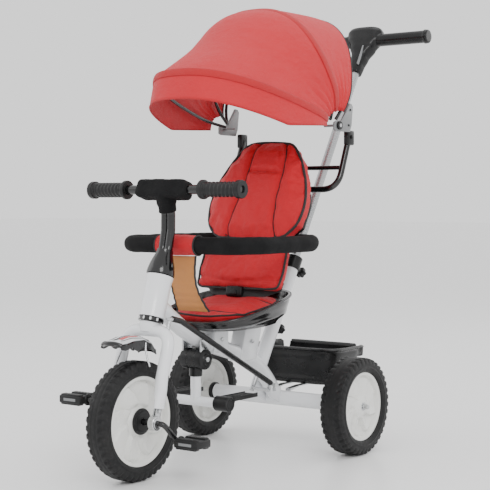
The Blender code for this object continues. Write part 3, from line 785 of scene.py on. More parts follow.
def build_front_wheel():
    axle = Matrix.Translation(FRONT_AXLE)
    bm = tyre(FRONT_RADIUS, 0.0978, 0.0215, 0.0266, 0.0190, 400, 44)
    piece("front_tyre_tread", bm, "front_wheel", "tyre_rubber", axle, ["front_tyre"], 50)
    face = [(0.0075, 0.0190), (0.0240, 0.0190), (0.0320, 0.0100), (0.0560, 0.0066),
            (0.0840, 0.0052), (0.0872, 0.0075), (0.0895, 0.0180), (0.0912, 0.0205),
            (0.0950, 0.0205)]
    back = [(r, -x) for r, x in face]
    piece("front_rim_blades", wheel_disc(face, back, 0.0972), "front_wheel", "white_plastic",
          axle, ["front_rim"], 50)
    for side, sign in SIDES:
        cap = spun(((0.0078, 0.0193), (0.0285, 0.0193), (0.0290, 0.0212), (0.0282, 0.0228),
                    (0.0230, 0.0240), (0.0222, 0.0262), (0.0150, 0.0268), (0.0078, 0.0262)),
                   48, True)
        holes = [(0.0254 * math.cos(a), 0.0254 * math.sin(a), 0.0232)
                 for a in [math.tau * i / 8 for i in range(8)]]
        cap = lying(merged(cap, domes(holes, 0.0017, 0.6, 10)))
        sided(cap, sign)
        piece("hub_cover_riveted_" + side, cap, "front_wheel", "black_plastic", axle,
              ["hub_cover_" + side])


def build_rear_wheels():
    for side, sign in SIDES:
        body = "rear_wheel_" + side
        place = REAR[side]
        bm = tyre(REAR_RADIUS, 0.0815, 0.0240, 0.0297, 0.0225, 360, 40)
        piece(f"rear_tyre_tread_{side}", bm, body, "tyre_rubber", place, ["rear_tyre_" + side], 50)
        face = [(0.0062, 0.0240), (0.0150, 0.0236), (0.0230, 0.0200), (0.0310, 0.0096),
                (0.0500, 0.0078), (0.0690, 0.0090), (0.0716, 0.0112), (0.0738, 0.0205),
                (0.0752, 0.0230), (0.0790, 0.0230)]
        back = [(0.0062, -0.0330), (0.0165, -0.0330), (0.0235, -0.0120), (0.0320, -0.0100),
                (0.0500, -0.0096), (0.0690, -0.0108), (0.0716, -0.0120), (0.0738, -0.0205),
                (0.0752, -0.0230), (0.0790, -0.0230)]
        disc = wheel_disc(face, back, 0.0809, 224)
        sided(disc, sign)
        piece(f"rear_rim_blades_{side}", disc, body, "white_plastic", place,
              ["rear_rim_" + side], 50)
        low, high = sorted((sign * 0.1866, sign * 0.1954))
        collar = washer(0.0057, 0.0222, low, high, 0.0012)
        piece("axle_collar_ring_" + side, lying(collar), "frame", "satin_black",
              GROUND @ Matrix.Translation((0, WHEELBASE, REAR_RADIUS)), ["axle_collar_" + side])
    ends = []
    for side, sign in SIDES:
        nut = merged(hex_nut(0.0075, 0.2545, 0.2605), rod(0.0056, 0.2600, 0.2678, 0.0016, 24),
                     washer(0.0052, 0.0105, 0.2532, 0.2545))
        nut = lying(nut)
        ends.append(sided(nut, sign))
    bar = lying(rod(0.0050, -0.255, 0.255, 0.0008, 24))
    piece("rear_axle_nuts", merged(bar, *ends), "frame", "steel",
          GROUND @ Matrix.Translation((0, WHEELBASE, REAR_RADIUS)), ["rear_axle"])


# ---------------------------------------------------------------- fork, cranks and handlebar

def flattened_ends(bm, start, end, thin, broad):
    """Press the feet of the fork legs flat, as their height falls from start to end."""
    for vert in bm.verts:
        press = eased((start - vert.co.z) / (start - end))
        if press <= 0:
            continue
        side = math.copysign(FORK_HALF, vert.co.x)
        middle = AXLE_IN_FORK[0] * eased((-0.120 - vert.co.z) / 0.067)
        vert.co.x = side + (vert.co.x - side) * (1 - press * (1 - thin))
        vert.co.y = middle + (vert.co.y - middle) * (1 + press * (broad - 1))
    return bm


def build_fork():
    leg = [(FORK_HALF, 0.0, -0.0225), (FORK_HALF, 0.0, -0.120),
           (FORK_HALF, AXLE_IN_FORK[0], -0.188)]
    path = [*reversed(leg), *[(-x, y, z) for x, y, z in leg]]
    path = rounded(path, [0.05, 0.040, 0.040, 0.05], 8)
    legs = flattened_ends(tube(dense(path, 0.008), 0.0135, 28), -0.150, -0.184, 0.62, 1.12)
    steerer = rod(0.0125, -0.022, 0.118, 0.001, 32)
    crown = spun(((0.0, -0.030), (0.0180, -0.028), (0.0225, -0.016), (0.0225, -0.0060),
                  (0.0, -0.0060)), 40)
    piece("fork_legs", merged(legs, crown, steerer), "steering", "white_paint", HEAD, ["fork"])
    pin = [shift(rod(0.0045, -0.040, 0.0085, 0.001, 20), LEVER_X),
           shift(hex_nut(0.0072, 0.0020, 0.0068), LEVER_X),
           block((LEVER_X - 0.009, -0.008, -0.0345), (LEVER_X + 0.009, 0.008, -0.0285), 0.002)]
    piece("fork_lever_pin", merged(*pin), "steering", "steel", HEAD)

    for side, sign in SIDES:
        y, z = AXLE_IN_FORK
        eye = lying(washer(0.0066, 0.0162, 0.0500, 0.0658, 0.0014, 48))
        straps = [block((0.0538 + 0.0062 * i, -0.0082, 0.004), (0.0574 + 0.0062 * i, 0.0082, 0.034),
                        0.0009, 2) for i in (0, 1)]
        bolts = [shift(lying(hex_nut(0.0050, 0.0640, 0.0682)), y=dy, z=dz)
                 for dy, dz in ((-0.0020, 0.026), (-0.0050, 0.046))]
        collar = lying(washer(0.0066, 0.0120, 0.0655, 0.0672, 0.0006, 40))
        end = shift(merged(eye, *straps, *bolts, collar), 0, y, z)
        piece("fork_end_eye_" + side, sided(end, sign), "steering",
              "steel", HEAD, ["fork_end_" + side])

    notched = washer(0.0140, 0.0285, -0.0045, 0.0055, 0.0016, 96)
    piece("headset_ring_turned", notched, "steering", "gloss_black", HEAD, ["headset_ring"])
    marks = [moved(block((0.0278, -0.0021, -0.0028), (0.0291, 0.0021, 0.0038), 0.0004, 1),
                   Matrix.Rotation(math.radians(angle), 4, "Z"))
             for angle in (-150, -118, -86, -54, -22)]
    piece("headset_marks", merged(*marks), "steering", "bright_trim", HEAD)
    bell = spun(((0.0285, 0.1020), (0.0312, 0.1022), (0.0316, 0.1060), (0.0306, 0.1140),
                 (0.0280, 0.1255), (0.0240, 0.1370), (0.0202, 0.1470), (0.0186, 0.1560),
                 (0.0184, 0.1592), (0.0165, 0.1592), (0.0175, 0.1500), (0.0225, 0.1365),
                 (0.0275, 0.1190)), 64, True)
    piece("bell_cone", bell, "steering", "gloss_black", HEAD, ["steering_cone"])


def build_cranks():
    arm = [(PEDAL_OUT, CRANK_Y, CRANK_Z), (CRANK_ARM_X, CRANK_Y, CRANK_Z), (CRANK_ARM_X, 0, 0)]
    path = [*arm, *[(-x, -y, -z) for x, y, z in reversed(arm)]]
    bar = tube(rounded(path, 0.012, 8), 0.0060, 20)
    axle = Matrix.Translation(FRONT_AXLE)
    piece("crank_bar", bar, "crank", "black_metal", axle, ["crank"])
    for side, sign in SIDES:
        place = axle @ Matrix.Translation((0, sign * CRANK_Y, sign * CRANK_Z))
        low, high = 0.0932, 0.1558
        tread_block = block((low, -0.0255, -0.0085), (high, 0.0255, 0.0085), 0.0030, 3)
        steps = [block((low + 0.004, y - 0.0075, -0.0118), (high - 0.004, y + 0.0075, 0.0118),
                       0.0020, 2) for y in (-0.0165, 0.0165)]
        ribs = [block((low + 0.008 + 0.0088 * i, y - 0.0066, -0.0119),
                      (low + 0.0104 + 0.0088 * i, y + 0.0066, 0.0122), 0.0005, 1)
                for i in range(6) for y in (-0.0165, 0.0165)]
        inner = lying(washer(0.0066, 0.0125, low - 0.0030, low + 0.004, 0.0014, 32))
        body = merged(tread_block, *steps, *ribs, inner)
        piece(f"pedal_{side}_block", sided(body, sign),
              "pedal_" + side, "black_plastic", place, ["pedal_" + side])
        strips = [block((low + 0.014, y - 0.0004, -0.0030), (high - 0.014, y + 0.0004, 0.0030),
                        0.0003, 1) for y in (-0.0256, 0.0256)]
        piece(f"pedal_{side}_reflector", sided(merged(*strips), sign),
              "pedal_" + side, "grey_plastic", place)


def build_handlebar():
    stem = [(0, 0, 0.1190), (0, 0, 0.168), (0, -0.004, 0.205), (0, -0.014, 0.238),
            (0, -0.029, 0.266), (0, BAR_Y, BAR_Z)]
    stem = rounded(stem, 0.03, 4)
    tubes = [shift(tube(stem, 0.0094, 24), x) for x in (-0.0086, 0.0086)]
    bar = lying(rod(0.0105, -BAR_HALF + 0.004, BAR_HALF - 0.004, 0.001, 32))
    bar = shift(bar, y=BAR_Y, z=BAR_Z)
    piece("handlebar_stem", merged(bar, *tubes), "steering", "gloss_black", HEAD, ["handlebar"])

    pad = block((-0.071, -0.0250, -0.0230), (0.071, 0.0250, 0.0230), 0.010, 3)
    for vert in pad.verts:
        taper = 1 - 0.20 * eased((abs(vert.co.x) - 0.050) / 0.021)
        vert.co.y *= taper
        vert.co.z *= taper
    shift(pad, y=BAR_Y, z=BAR_Z)
    neck = [Vector((0, -0.0365, 0.2760)), Vector((0, -0.0255, 0.2590)),
            Vector((0, -0.0165, 0.2420))]
    rings = [tube([a, b], radius, 28) for a, b, radius in
             ((neck[0], neck[1], 0.0225), (neck[1] + Vector((0, -0.001, 0.003)), neck[2], 0.0200))]
    whole = fused(pad, *rings, voxel=0.0025, smooth=8)
    whole = rumpled(whole, 0.0011, 0.022, 3)
    pad = piece("bar_pad_foam", whole, "steering", "black_foam", HEAD, ["bar_pad"], 60)

    for side, sign in SIDES:
        inner, outer = BAR_HALF - 0.110, BAR_HALF
        outline = [(0.0109, inner), (0.0205, inner), (0.0214, inner + 0.0012),
                   (0.0214, inner + 0.0075), (0.0205, inner + 0.0090), (0.0170, inner + 0.0110),
                   (0.0158, inner + 0.0150), (0.0158, outer - 0.0170), (0.0175, outer - 0.0130),
                   (0.0200, outer - 0.0118), (0.0200, outer - 0.0022), (0.0190, outer),
                   (0.0090, outer), (0.0080, outer - 0.0010), (0.0080, outer - 0.0040),
                   (0.0109, outer - 0.0045)]

        def ribs(r, x, turn, low=inner + 0.017, high=outer - 0.019):
            if r < 0.0150 or not low < x < high:
                return r, x
            wave = math.sin(math.tau * ((x - low) / 0.0105 + 0.6 * math.sin(math.tau * turn)))
            return r + 0.0012 * eased(0.5 + wave), x
        grip = ring_skin(finer(outline, 0.0011), 72, ribs)
        sided(grip, sign)
        piece("grip_ribbed_" + side, shift(grip, y=BAR_Y, z=BAR_Z), "steering", "black_plastic",
              HEAD, ["grip_" + side], 45)


FENDER_ROWS = ((-0.082, 0.2990, 0.0200, 0.0040), (-0.074, 0.3005, 0.0265, 0.0060),
               (-0.060, 0.3025, 0.0300, 0.0070), (-0.028, 0.3075, 0.0310, 0.0080),
               (0.000, 0.3070, 0.0310, 0.0080), (0.022, 0.2990, 0.0305, 0.0075),
               (0.038, 0.2850, 0.0290, 0.0065), (0.046, 0.2715, 0.0255, 0.0050))


def fender_point(x, y, lift=0.0):
    """A point on the mudguard's crown, in the steering frame."""
    z, half, crown = table_at(FENDER_ROWS, y)
    drop = 1.1 * crown * abs(x / half) ** 3.0
    upright_point = Vector((x, y - 0.057, z + 0.0058 + lift - drop - 0.343))
    return Matrix.Rotation(math.radians(18), 3, "X") @ upright_point


def fender_plate(start, end, left, right, lift, thickness):
    """A curved plate on the crown between two heights; left and right give its side edges."""
    def where(u, v):
        y = start + (end - start) * v
        low, high = left(y), right(y)
        return fender_point(low + (high - low) * u, y, lift)
    bm = skin(24, 44, where)
    bmesh.ops.recalc_face_normals(bm, faces=bm.faces)
    if sum(face.normal.z for face in bm.faces) < 0:
        bmesh.ops.reverse_faces(bm, faces=bm.faces)
    bmesh.ops.solidify(bm, geom=bm.faces[:], thickness=thickness)
    return bm


def build_fender():
    """A rounded mudguard: black nose and wavy skirt, bright top with dark lines, a red inlay."""
    def half(y):
        return table_at(FENDER_ROWS, y)[1]
    base = fender_plate(-0.0815, 0.0455, lambda y: -half(y), half, 0.0, 0.0024)
    skirts = []
    for sign in (-1, 1):
        def hang(u, v, sign=sign):
            y = -0.070 + 0.108 * v
            depth = 0.0085 + 0.0095 * math.sin(math.pi * v) ** 2
            depth += 0.0030 * math.sin(math.tau * v * 2.5)
            top = fender_point(sign * half(y) * 0.985, y)
            return top + Vector((sign * 0.0012 * u, 0, -depth * u))
        wall = skin(8, 40, hang)
        bmesh.ops.recalc_face_normals(wall, faces=wall.faces)
        bmesh.ops.solidify(wall, geom=wall.faces[:], thickness=0.0020)
        skirts.append(wall)
    nose = [fender_point(x, -0.0790 + 0.010 * (x / 0.026) ** 2, -0.002)
            for x in [-0.026 + 0.052 * i / 16 for i in range(17)]]
    nose = tube(nose, 0.0052, 20)
    piece("fender_body", merged(base, *skirts, nose), "steering", "gloss_black", HEAD,
          ["fender"], 45)

    top = fender_plate(-0.070, 0.036, lambda y: -half(y) * 0.93, lambda y: half(y) * 0.93,
                       0.0014, 0.0010)
    piece("fender_top_plate", top, "steering", "bright_trim", HEAD, (), 50)
    inlay = fender_plate(-0.052, -0.004, lambda y: 0.002 + 0.10 * (y + 0.05),
                         lambda y: 0.0125 + 0.06 * (y + 0.05), 0.0021, 0.0008)
    piece("fender_inlay", inlay, "steering", "red_plastic", HEAD, (), 50)

    def line(start, end, width, bow_in):
        points = []
        for i in range(21):
            v = i / 20
            x = start[0] + (end[0] - start[0]) * v + bow_in * math.sin(math.pi * v)
            points.append(fender_point(x, start[1] + (end[1] - start[1]) * v, 0.0014))
        return tube(points, width, 10)
    lines = [line((0.0, -0.064), (0.0225, 0.028), 0.0010, -0.006),
             line((0.0165, -0.060), (0.0255, 0.020), 0.0009, 0.001),
             line((-0.0165, -0.060), (-0.0255, 0.020), 0.0009, -0.001),
             line((-0.004, -0.064), (-0.0225, 0.028), 0.0010, 0.006)]
    piece("fender_trim_lines", merged(*lines), "steering", "gloss_black", HEAD)
    clip = [fender_point(x, 0.004, -0.004) + Vector((0, 0, z)) for x, z in
            ((-0.0300, 0.0), (-0.0325, -0.012), (-0.0400, -0.022), (-0.0480, -0.026))]
    clips = [sided(tube(rounded(clip, 0.006, 4), 0.0022, 12), sign) for _, sign in SIDES]
    piece("fender_clips", merged(*clips), "steering", "steel", HEAD)


build_front_wheel()
build_rear_wheels()
build_fork()
build_cranks()
build_handlebar()
build_fender()


# ---------------------------------------------------------------- frame tubes and small metal

def build_frame():
    main = tube(rounded([(0, y, z) for y, z in MAIN_PATH], 0.05, 5), 0.0190, 36)
    flange = tube([(0, 0.078, 0.3735), (0, 0.104, 0.3565)], 0.0205, 36)
    piece("main_tube_smooth", merged(main, flange), "frame", "white_paint", GROUND, ["main_tube"])
    axle = lying(spun(((0.0, -0.186), (0.0165, -0.186), (0.0185, -0.184), (0.0185, 0.184),
                       (0.0165, 0.186), (0.0, 0.186)), 40))
    place = GROUND @ Matrix.Translation((0, WHEELBASE, REAR_RADIUS))
    gusset = [block((x - 0.002, -0.060, 0.012), (x + 0.002, -0.010, 0.052), 0.0008, 2)
              for x in (-0.021, 0.021)]
    for rib in gusset:
        for vert in rib.verts:
            vert.co.z -= max(0.0, vert.co.y + 0.050) * 0.6
    piece("axle_tube_smooth", merged(axle, *gusset), "frame", "white_paint", place, ["axle_tube"])
    post = spun(((0.0, -0.004), (0.0175, -0.004), (0.0175, POST_LENGTH - 0.001),
                 (0.0165, POST_LENGTH), (0.0122, POST_LENGTH), (0.0122, POST_LENGTH - 0.02),
                 (0.0, POST_LENGTH - 0.02)), 40)
    piece("rear_post_smooth", post, "frame", "white_paint", POST, ["rear_post"])
    head = spun(((0.0272, 0.0062), (0.0290, 0.0062), (0.0292, 0.0110), (0.0284, 0.0150),
                 (0.0288, 0.0880), (0.0300, 0.0930), (0.0304, 0.1000), (0.0290, 0.1005),
                 (0.0262, 0.1005), (0.0256, 0.0500)), 64, True)
    piece("head_tube_smooth", head, "frame", "white_paint", HEAD, ["head_tube"])

    front = block((-0.022, 0.258, 0.252), (0.022, 0.312, 0.3035), 0.003)
    rear = block((-0.020, 0.372, 0.222), (0.020, 0.438, 0.3035), 0.004)
    for vert in rear.verts:
        vert.co.y += 0.30 * (vert.co.z - 0.26)
    bolts = [shift(lying(hex_nut(0.0052, 0.0215, 0.0252)), 0, y, z)
             for y, z in ((0.285, 0.283), (0.405, 0.268))]
    piece("seat_brackets", merged(front, rear), "frame", "white_paint", GROUND,
          ["seat_bracket", "seat_box"])
    piece("seat_bracket_bolts", merged(*bolts), "frame", "steel", GROUND)

    for node in ("head_bush_lower", "head_bush_upper", "push_shaft"):
        for slot in bpy.data.objects[node].material_slots:
            slot.material = FINISHES["steel"]


def build_steering_rod():
    pin = HEAD @ Vector((LEVER_X, 0, 0.0055))
    post_end = POST @ Vector((0.047, 0.004, -0.058)) + Vector((0, 0.006, 0.017))
    path = [pin + Vector((0, 0.008, 0)), pin + Vector((0, 0.040, -0.008)), post_end]
    path = rounded(path, 0.06, 10)
    bar = tube(path, 0.0064, 24)
    piece("steering_rod_sleeve", bar, "steering_rod", "satin_black", None, ["steering_rod"])
    along = (path[-1] - path[-2]).normalized()
    eye = moved(washer(0.0047, 0.0088, -0.0024, 0.0024, 0.0008, 32), Matrix.Translation(pin))
    neck = tube([pin + Vector((0, 0.006, 0)), pin + Vector((0, 0.020, -0.003))], 0.0036, 16)
    tip = tube([path[-1] - along * 0.004, path[-1] + along * 0.010], 0.0046, 20)
    jaws = [shift(block((-0.0016, -0.0060, -0.0170), (0.0016, 0.0060, 0.0020), 0.0006, 2), dx)
            for dx in (-0.0075, 0.0075)]
    clevis = moved(merged(*jaws), Matrix.Translation(path[-1] + along * 0.006))
    piece("steering_rod_ends", merged(eye, neck, tip, clevis), "steering_rod", "steel")


def star_knob(reach, radius, lobes=6):
    """A lobed hand knob along +Z."""
    rows = ((0.000, 0.70), (0.0015, 0.92), (0.004, 1.00), (0.013, 0.98), (0.016, 0.86),
            (0.0175, 0.50), (0.0178, 0.0))

    def where(u, v):
        position = v * (len(rows) - 1)
        low = rows[int(min(position, len(rows) - 1))]
        high = rows[min(int(position) + 1, len(rows) - 1)]
        part = position - int(position)
        z = low[0] + (high[0] - low[0]) * part
        r = (low[1] + (high[1] - low[1]) * part) * radius
        r *= 1 + 0.10 * math.cos(math.tau * u * lobes)
        return Vector((r * math.cos(math.tau * u), r * math.sin(math.tau * u), reach + z))
    bottom = spun(((0.0, reach), (radius * 0.7, reach)), 48)
    return merged(skin(72, 18, where), bottom)


def build_knobs():
    stalk = spun(((0.0, 0.0184), (0.0050, 0.0184), (0.0050, 0.0345), (0.0, 0.0345)), 24)
    knob = merged(star_knob(0.0345, 0.0128), rod(0.0072, 0.0240, 0.0346, 0.001, 32))
    piece("height_knob_lobed", knob, "height_knob", "black_plastic", KNOB, ["height_knob"])
    piece("height_knob_stalk", stalk, "height_knob", "steel", KNOB)
    clamp = block((-0.0125, 0.010, POST_LENGTH - 0.032), (0.0125, 0.0182, POST_LENGTH - 0.012),
                  0.0015)
    band = washer(0.0177, 0.0204, POST_LENGTH - 0.036, POST_LENGTH - 0.002, 0.0008, 48)
    piece("post_clamp", merged(clamp, band), "frame", "satin_black", POST)

    low = Matrix.Translation((0, 0, 0.118)) @ Matrix.Rotation(-math.pi / 2, 4, "X")
    lower = merged(moved(star_knob(0.0250, 0.0115), low),
                   moved(rod(0.0048, 0.0170, 0.0255, 0.0005, 24), low))
    piece("seat_knob", lower, "frame", "black_plastic", POST)
    cap = moved(spun(((0.0, 0.0424), (0.0052, 0.0424), (0.0050, 0.0440), (0.0, 0.0446)), 32), low)
    piece("seat_knob_cap", cap, "frame", "bright_trim", POST)


# ---------------------------------------------------------------- parent handle

def build_push():
    tube_skin = spun(((0.0100, 0.150), (0.0110, 0.150), (0.0115, 0.1505), (0.0115, 0.9045),
                      (0.0110, 0.905), (0.0100, 0.905)), 40, True)
    facing_y = Matrix.Rotation(-math.pi / 2, 4, "X")
    holes = [moved(washer(0.0018, 0.0034, 0.0110, 0.0119, 0.0003, 20),
                   Matrix.Translation((0, 0, 0.44 + 0.05 * i)) @ facing_y) for i in range(3)]
    piece("push_tube_smooth", merged(tube_skin, *holes), "push_handle", "push_steel", POST,
          ["push_tube"])

    rows = ((0.868, 0.0155, 0.0165, 0.0), (0.892, 0.0172, 0.0185, 0.0),
            (0.920, 0.0225, 0.0210, 0.0), (0.950, 0.0360, 0.0240, 0.0),
            (0.976, 0.0500, 0.0260, -0.001), (0.998, 0.0540, 0.0265, -0.003),
            (1.008, 0.0490, 0.0235, -0.004), (1.0125, 0.0400, 0.0180, -0.005))

    def where(u, v):
        z = rows[0][0] + (rows[-1][0] - rows[0][0]) * v
        half_x, half_y, offset = table_at(rows, z)
        x, y = ellipse(u, half_x, half_y, 3.0)
        return Vector((x + offset, y, z))
    hub = skin(48, 30, where)
    bmesh.ops.remove_doubles(hub, verts=hub.verts, dist=1e-6)
    bmesh.ops.holes_fill(hub, edges=hub.edges)
    bar = lying(spun(((0.0, -0.1940), (0.0165, -0.1940), (0.0184, -0.1925), (0.0184, -0.185),
                      (0.0168, -0.180), (0.0168, -0.060), (0.0172, 0.0), (0.0168, 0.060),
                      (0.0168, 0.180), (0.0184, 0.185), (0.0184, 0.1925), (0.0165, 0.1940),
                      (0.0, 0.1940)), 40))
    whole = fused(hub, shift(bar, z=HANDLE_REACH), voxel=0.0022, smooth=3)
    piece("push_handle_moulding", whole, "push_handle", "satin_black", POST, ["push_handle"], 50)
    rings = [lying(washer(0.0165, 0.0189, low, low + 0.004, 0.0008, 40))
             for low in (-0.1865, 0.1825)]
    piece("push_handle_rings", shift(merged(*rings), z=HANDLE_REACH), "push_handle",
          "gloss_black", POST)
    # A light grey strip on the hub's front corner: a painted highlight, not a seam or part of the handle.
    highlight_strip = block((0.0125, -0.0250, 0.885), (0.0160, -0.0170, 0.945), 0.0012)
    piece("push_handle_painted_highlight", highlight_strip, "push_handle", "grey_plastic", POST)
    button = spun(((0.0, 0.994), (0.0054, 0.994), (0.0054, 1.0170), (0.0045, 1.0180),
                   (0.0, 1.0184)), 32)
    piece("handle_button_cap", button, "handle_button", "grey_plastic", POST, ["handle_button"])


# ---------------------------------------------------------------- footrest

def build_footrest():
    cheeks = [block((x - 0.0022, 0.199, 0.236), (x + 0.0022, 0.231, 0.290), 0.0015)
              for x in (-0.0258, 0.0258)]
    strap = tube([(x, 0.215, z) for x, z in ((-0.0258, 0.276), (-0.020, 0.2925), (-0.012, 0.2990),
                                             (0.012, 0.2990), (0.020, 0.2925), (0.0258, 0.276))],
                 0.0022, 12)
    piece("footrest_saddle", merged(*cheeks, strap), "frame", "steel", GROUND,
          ["footrest_bracket"])

    barrel = lying(spun(((0.0, -0.0330), (0.0120, -0.0330), (0.0135, -0.0310), (0.0205, -0.0310),
                         (0.0235, -0.0290), (0.0240, -0.0255), (0.0240, -0.0130),
                         (0.0230, -0.0120), (0.0230, -0.0105), (0.0240, -0.0095),
                         (0.0240, 0.0095), (0.0230, 0.0105), (0.0230, 0.0120), (0.0240, 0.0130),
                         (0.0240, 0.0255), (0.0235, 0.0290), (0.0205, 0.0310), (0.0135, 0.0310),
                         (0.0120, 0.0330), (0.0, 0.0330)), 48))
    piece("footrest_barrel", barrel, "footrest", "satin_black", FOOT)
    bolts = [lying(hex_nut(0.0062, *sorted((s * 0.0315, s * 0.0360)))) for s in (1, -1)]
    piece("footrest_bolts", merged(*bolts), "footrest", "steel", FOOT)
    post = rod(0.0120, -FOOT_BAR_DROP, -0.012, 0.001, 32)
    bar = shift(lying(rod(0.0110, -0.096, 0.096, 0.0012, 32)), z=-FOOT_BAR_DROP)
    collar = washer(0.0119, 0.0150, -0.040, -0.020, 0.0012, 40)
    piece("footrest_tee", merged(post, bar), "footrest", "white_paint", FOOT, ["footrest"])
    caps = [lying(rod(0.0113, *sorted((s * 0.0958, s * 0.0992)), 0.0014, 32)) for s in (1, -1)]
    collar = merged(collar, *[shift(cap, z=-FOOT_BAR_DROP) for cap in caps])
    piece("footrest_collar", collar, "footrest", "satin_black", FOOT)

    place = FOOT @ Matrix.Translation((0, 0, -FOOT_BAR_DROP))
    for side, sign in SIDES:
        low, high = 0.0600, 0.0990
        hub = lying(washer(0.0115, 0.0172, low, high, 0.0014, 40))
        slab = block((low, 0.004, 0.0046), (high, 0.1075, 0.0112), 0.0026, 3)
        ribs = [block((low + 0.003, 0.022 + 0.0105 * i, 0.0100),
                      (high - 0.003, 0.0262 + 0.0105 * i, 0.0135), 0.0008, 1) for i in range(8)]
        rims = [block((x, 0.014, 0.0080), (x + 0.0028, 0.1065, 0.0150), 0.0010, 2)
                for x in (low + 0.0002, high - 0.0030)]
        both = merged(hub, slab, *ribs, *rims)
        piece(f"foot_plate_{side}_ribbed", sided(both, sign),
              "foot_plate_" + side, "black_plastic", place, ["foot_plate_" + side])


# ---------------------------------------------------------------- seat, cushions and belt

SEAT = GROUND @ Matrix.Translation((0, SEAT_Y, SEAT_Z))
PAN_ROWS = ((0.000, 0.062, 0.086), (0.008, 0.100, 0.112), (0.028, 0.124, 0.133),
            (0.050, 0.130, 0.140), (0.058, 0.1320, 0.1420))


def build_seat():
    def wall(u, height, inset):
        half_x, half_y = table_at(PAN_ROWS, height)
        x, y = ellipse(u, half_x - inset, half_y - inset, 2.8)
        dip = 0.006 * math.cos(2 * math.tau * u) * eased(height / 0.05)
        rise = 0.032 * (height / 0.058) * y / half_y
        return Vector((x, y, height + rise + dip * 0.5))

    def where(u, v):
        if v < 0.12:
            inside = wall(u, 0.0, 0.0)
            return Vector((inside.x * v / 0.12, inside.y * v / 0.12, 0.0))
        if v <= 0.5:
            return wall(u, 0.058 * eased((v - 0.12) / 0.38) ** 0.9, 0.0)
        if v < 0.56:
            return wall(u, 0.058, 0.005 * (v - 0.5) / 0.06)
        if v < 0.9:
            return wall(u, 0.058 * (1 - (v - 0.56) / 0.34) + 0.0045 * (v - 0.56) / 0.34, 0.005)
        inside = wall(u, 0.0045, 0.005)
        part = (1 - v) / 0.1
        return Vector((inside.x * part, inside.y * part, 0.0048))
    pan = skin(96, 50, where)
    lip = tube([wall(i / 72, 0.0560, -0.0002) for i in range(72)], 0.0036, 14, True)
    piece("seat_bucket", merged(pan, lip), "frame", "gloss_black", SEAT, ["seat_pan"], 50)

    pad_rows = ((0.0060, 0.046, 0.066), (0.016, 0.082, 0.094), (0.034, 0.104, 0.114),
                (0.052, 0.110, 0.118), (0.060, 0.098, 0.104))

    def pad_where(u, v):
        height = 0.0060 + 0.054 * v
        half_x, half_y = table_at(pad_rows, height)
        x, y = ellipse(u, half_x, half_y, 2.6)
        return Vector((x, y, height + 0.016 * v * y / half_y))
    pad = skin(64, 14, pad_where)
    bmesh.ops.remove_doubles(pad, verts=pad.verts, dist=1e-6)
    bmesh.ops.holes_fill(pad, edges=pad.edges)
    pad = stuffed(pad, 0.010, lambda co: eased((co.z - 0.030) / 0.02), (0.3, 0.3, 1.0))
    welts = [[(-0.098, -0.062), (-0.060, -0.082), (0.0, -0.090), (0.060, -0.082), (0.098, -0.062)],
             [(-0.100, 0.040), (-0.050, 0.026), (0.0, 0.022), (0.050, 0.026), (0.100, 0.040)]]
    pad = creased(pad, welts, 0.0042, 0.0055, (0, 1), (0, 0, -1))
    rumpled(pad, 0.0016, 0.030, 7)
    lines = []
    for welt in welts:
        line = dense([(x, y, 0.07) for x, y in welt])
        lines.append(tube(laid(pad, line, (0, 0, -1), -0.0004), 0.0019, 12))
    edge = [Vector((*ellipse(i / 90, 0.1135, 0.1215, 2.6), 0)) for i in range(90)]
    edge = [Vector((p.x, p.y, 0.0610 + 0.016 * p.y / 0.12)) for p in edge]
    lines.append(tube(eased_ring(hugging(pad, edge)), 0.0024, 12, True))
    cushion = piece("seat_cushion_padded", pad, "frame", "red_fabric", SEAT, ["seat_cushion"], 80)
    piece("seat_cushion_piping", merged(*lines), "frame", "piping", SEAT)


BACK_ROWS = ((0.066, 0.070), (0.080, 0.112), (0.112, 0.137), (0.160, 0.143), (0.212, 0.134),
             (0.262, 0.113), (0.302, 0.086), (0.325, 0.054))


def pillow(rows, inset=0.0):
    """Half of a cushion's outline, from (height, half_width) rows."""
    low, high = rows[0][0] + inset, rows[-1][0] - inset
    outline = []
    for i in range(25):
        z = low + (high - low) * (0.5 - 0.5 * math.cos(math.pi * i / 24))
        outline.append((table_at(rows, z)[0] - inset, z))
    return outline


def edge_line(outline, y):
    """A half outline and its mirror image, at one depth."""
    points = [(x, y, z) for x, z in outline] + [(-x, y, z) for x, z in reversed(outline)]
    return [Vector(point) for point in points]


def slab_of(outline, front, rear):
    """A cushion blank between two depths."""
    return slab(edge_line(outline, front), (0, rear - front, 0))


def eased_ring(points):
    """The same ring with its corners eased."""
    count = len(points)
    for _ in range(2):
        points = [(points[i - 1] + points[i] * 2 + points[(i + 1) % count]) / 4
                  for i in range(count)]
    return points


def welt_line(pad, outline, y):
    """Piping points round a cushion's edge, drawn onto its swollen cover."""
    return eased_ring(hugging(pad, eased_ring(edge_line(outline, y)), 0.0028))


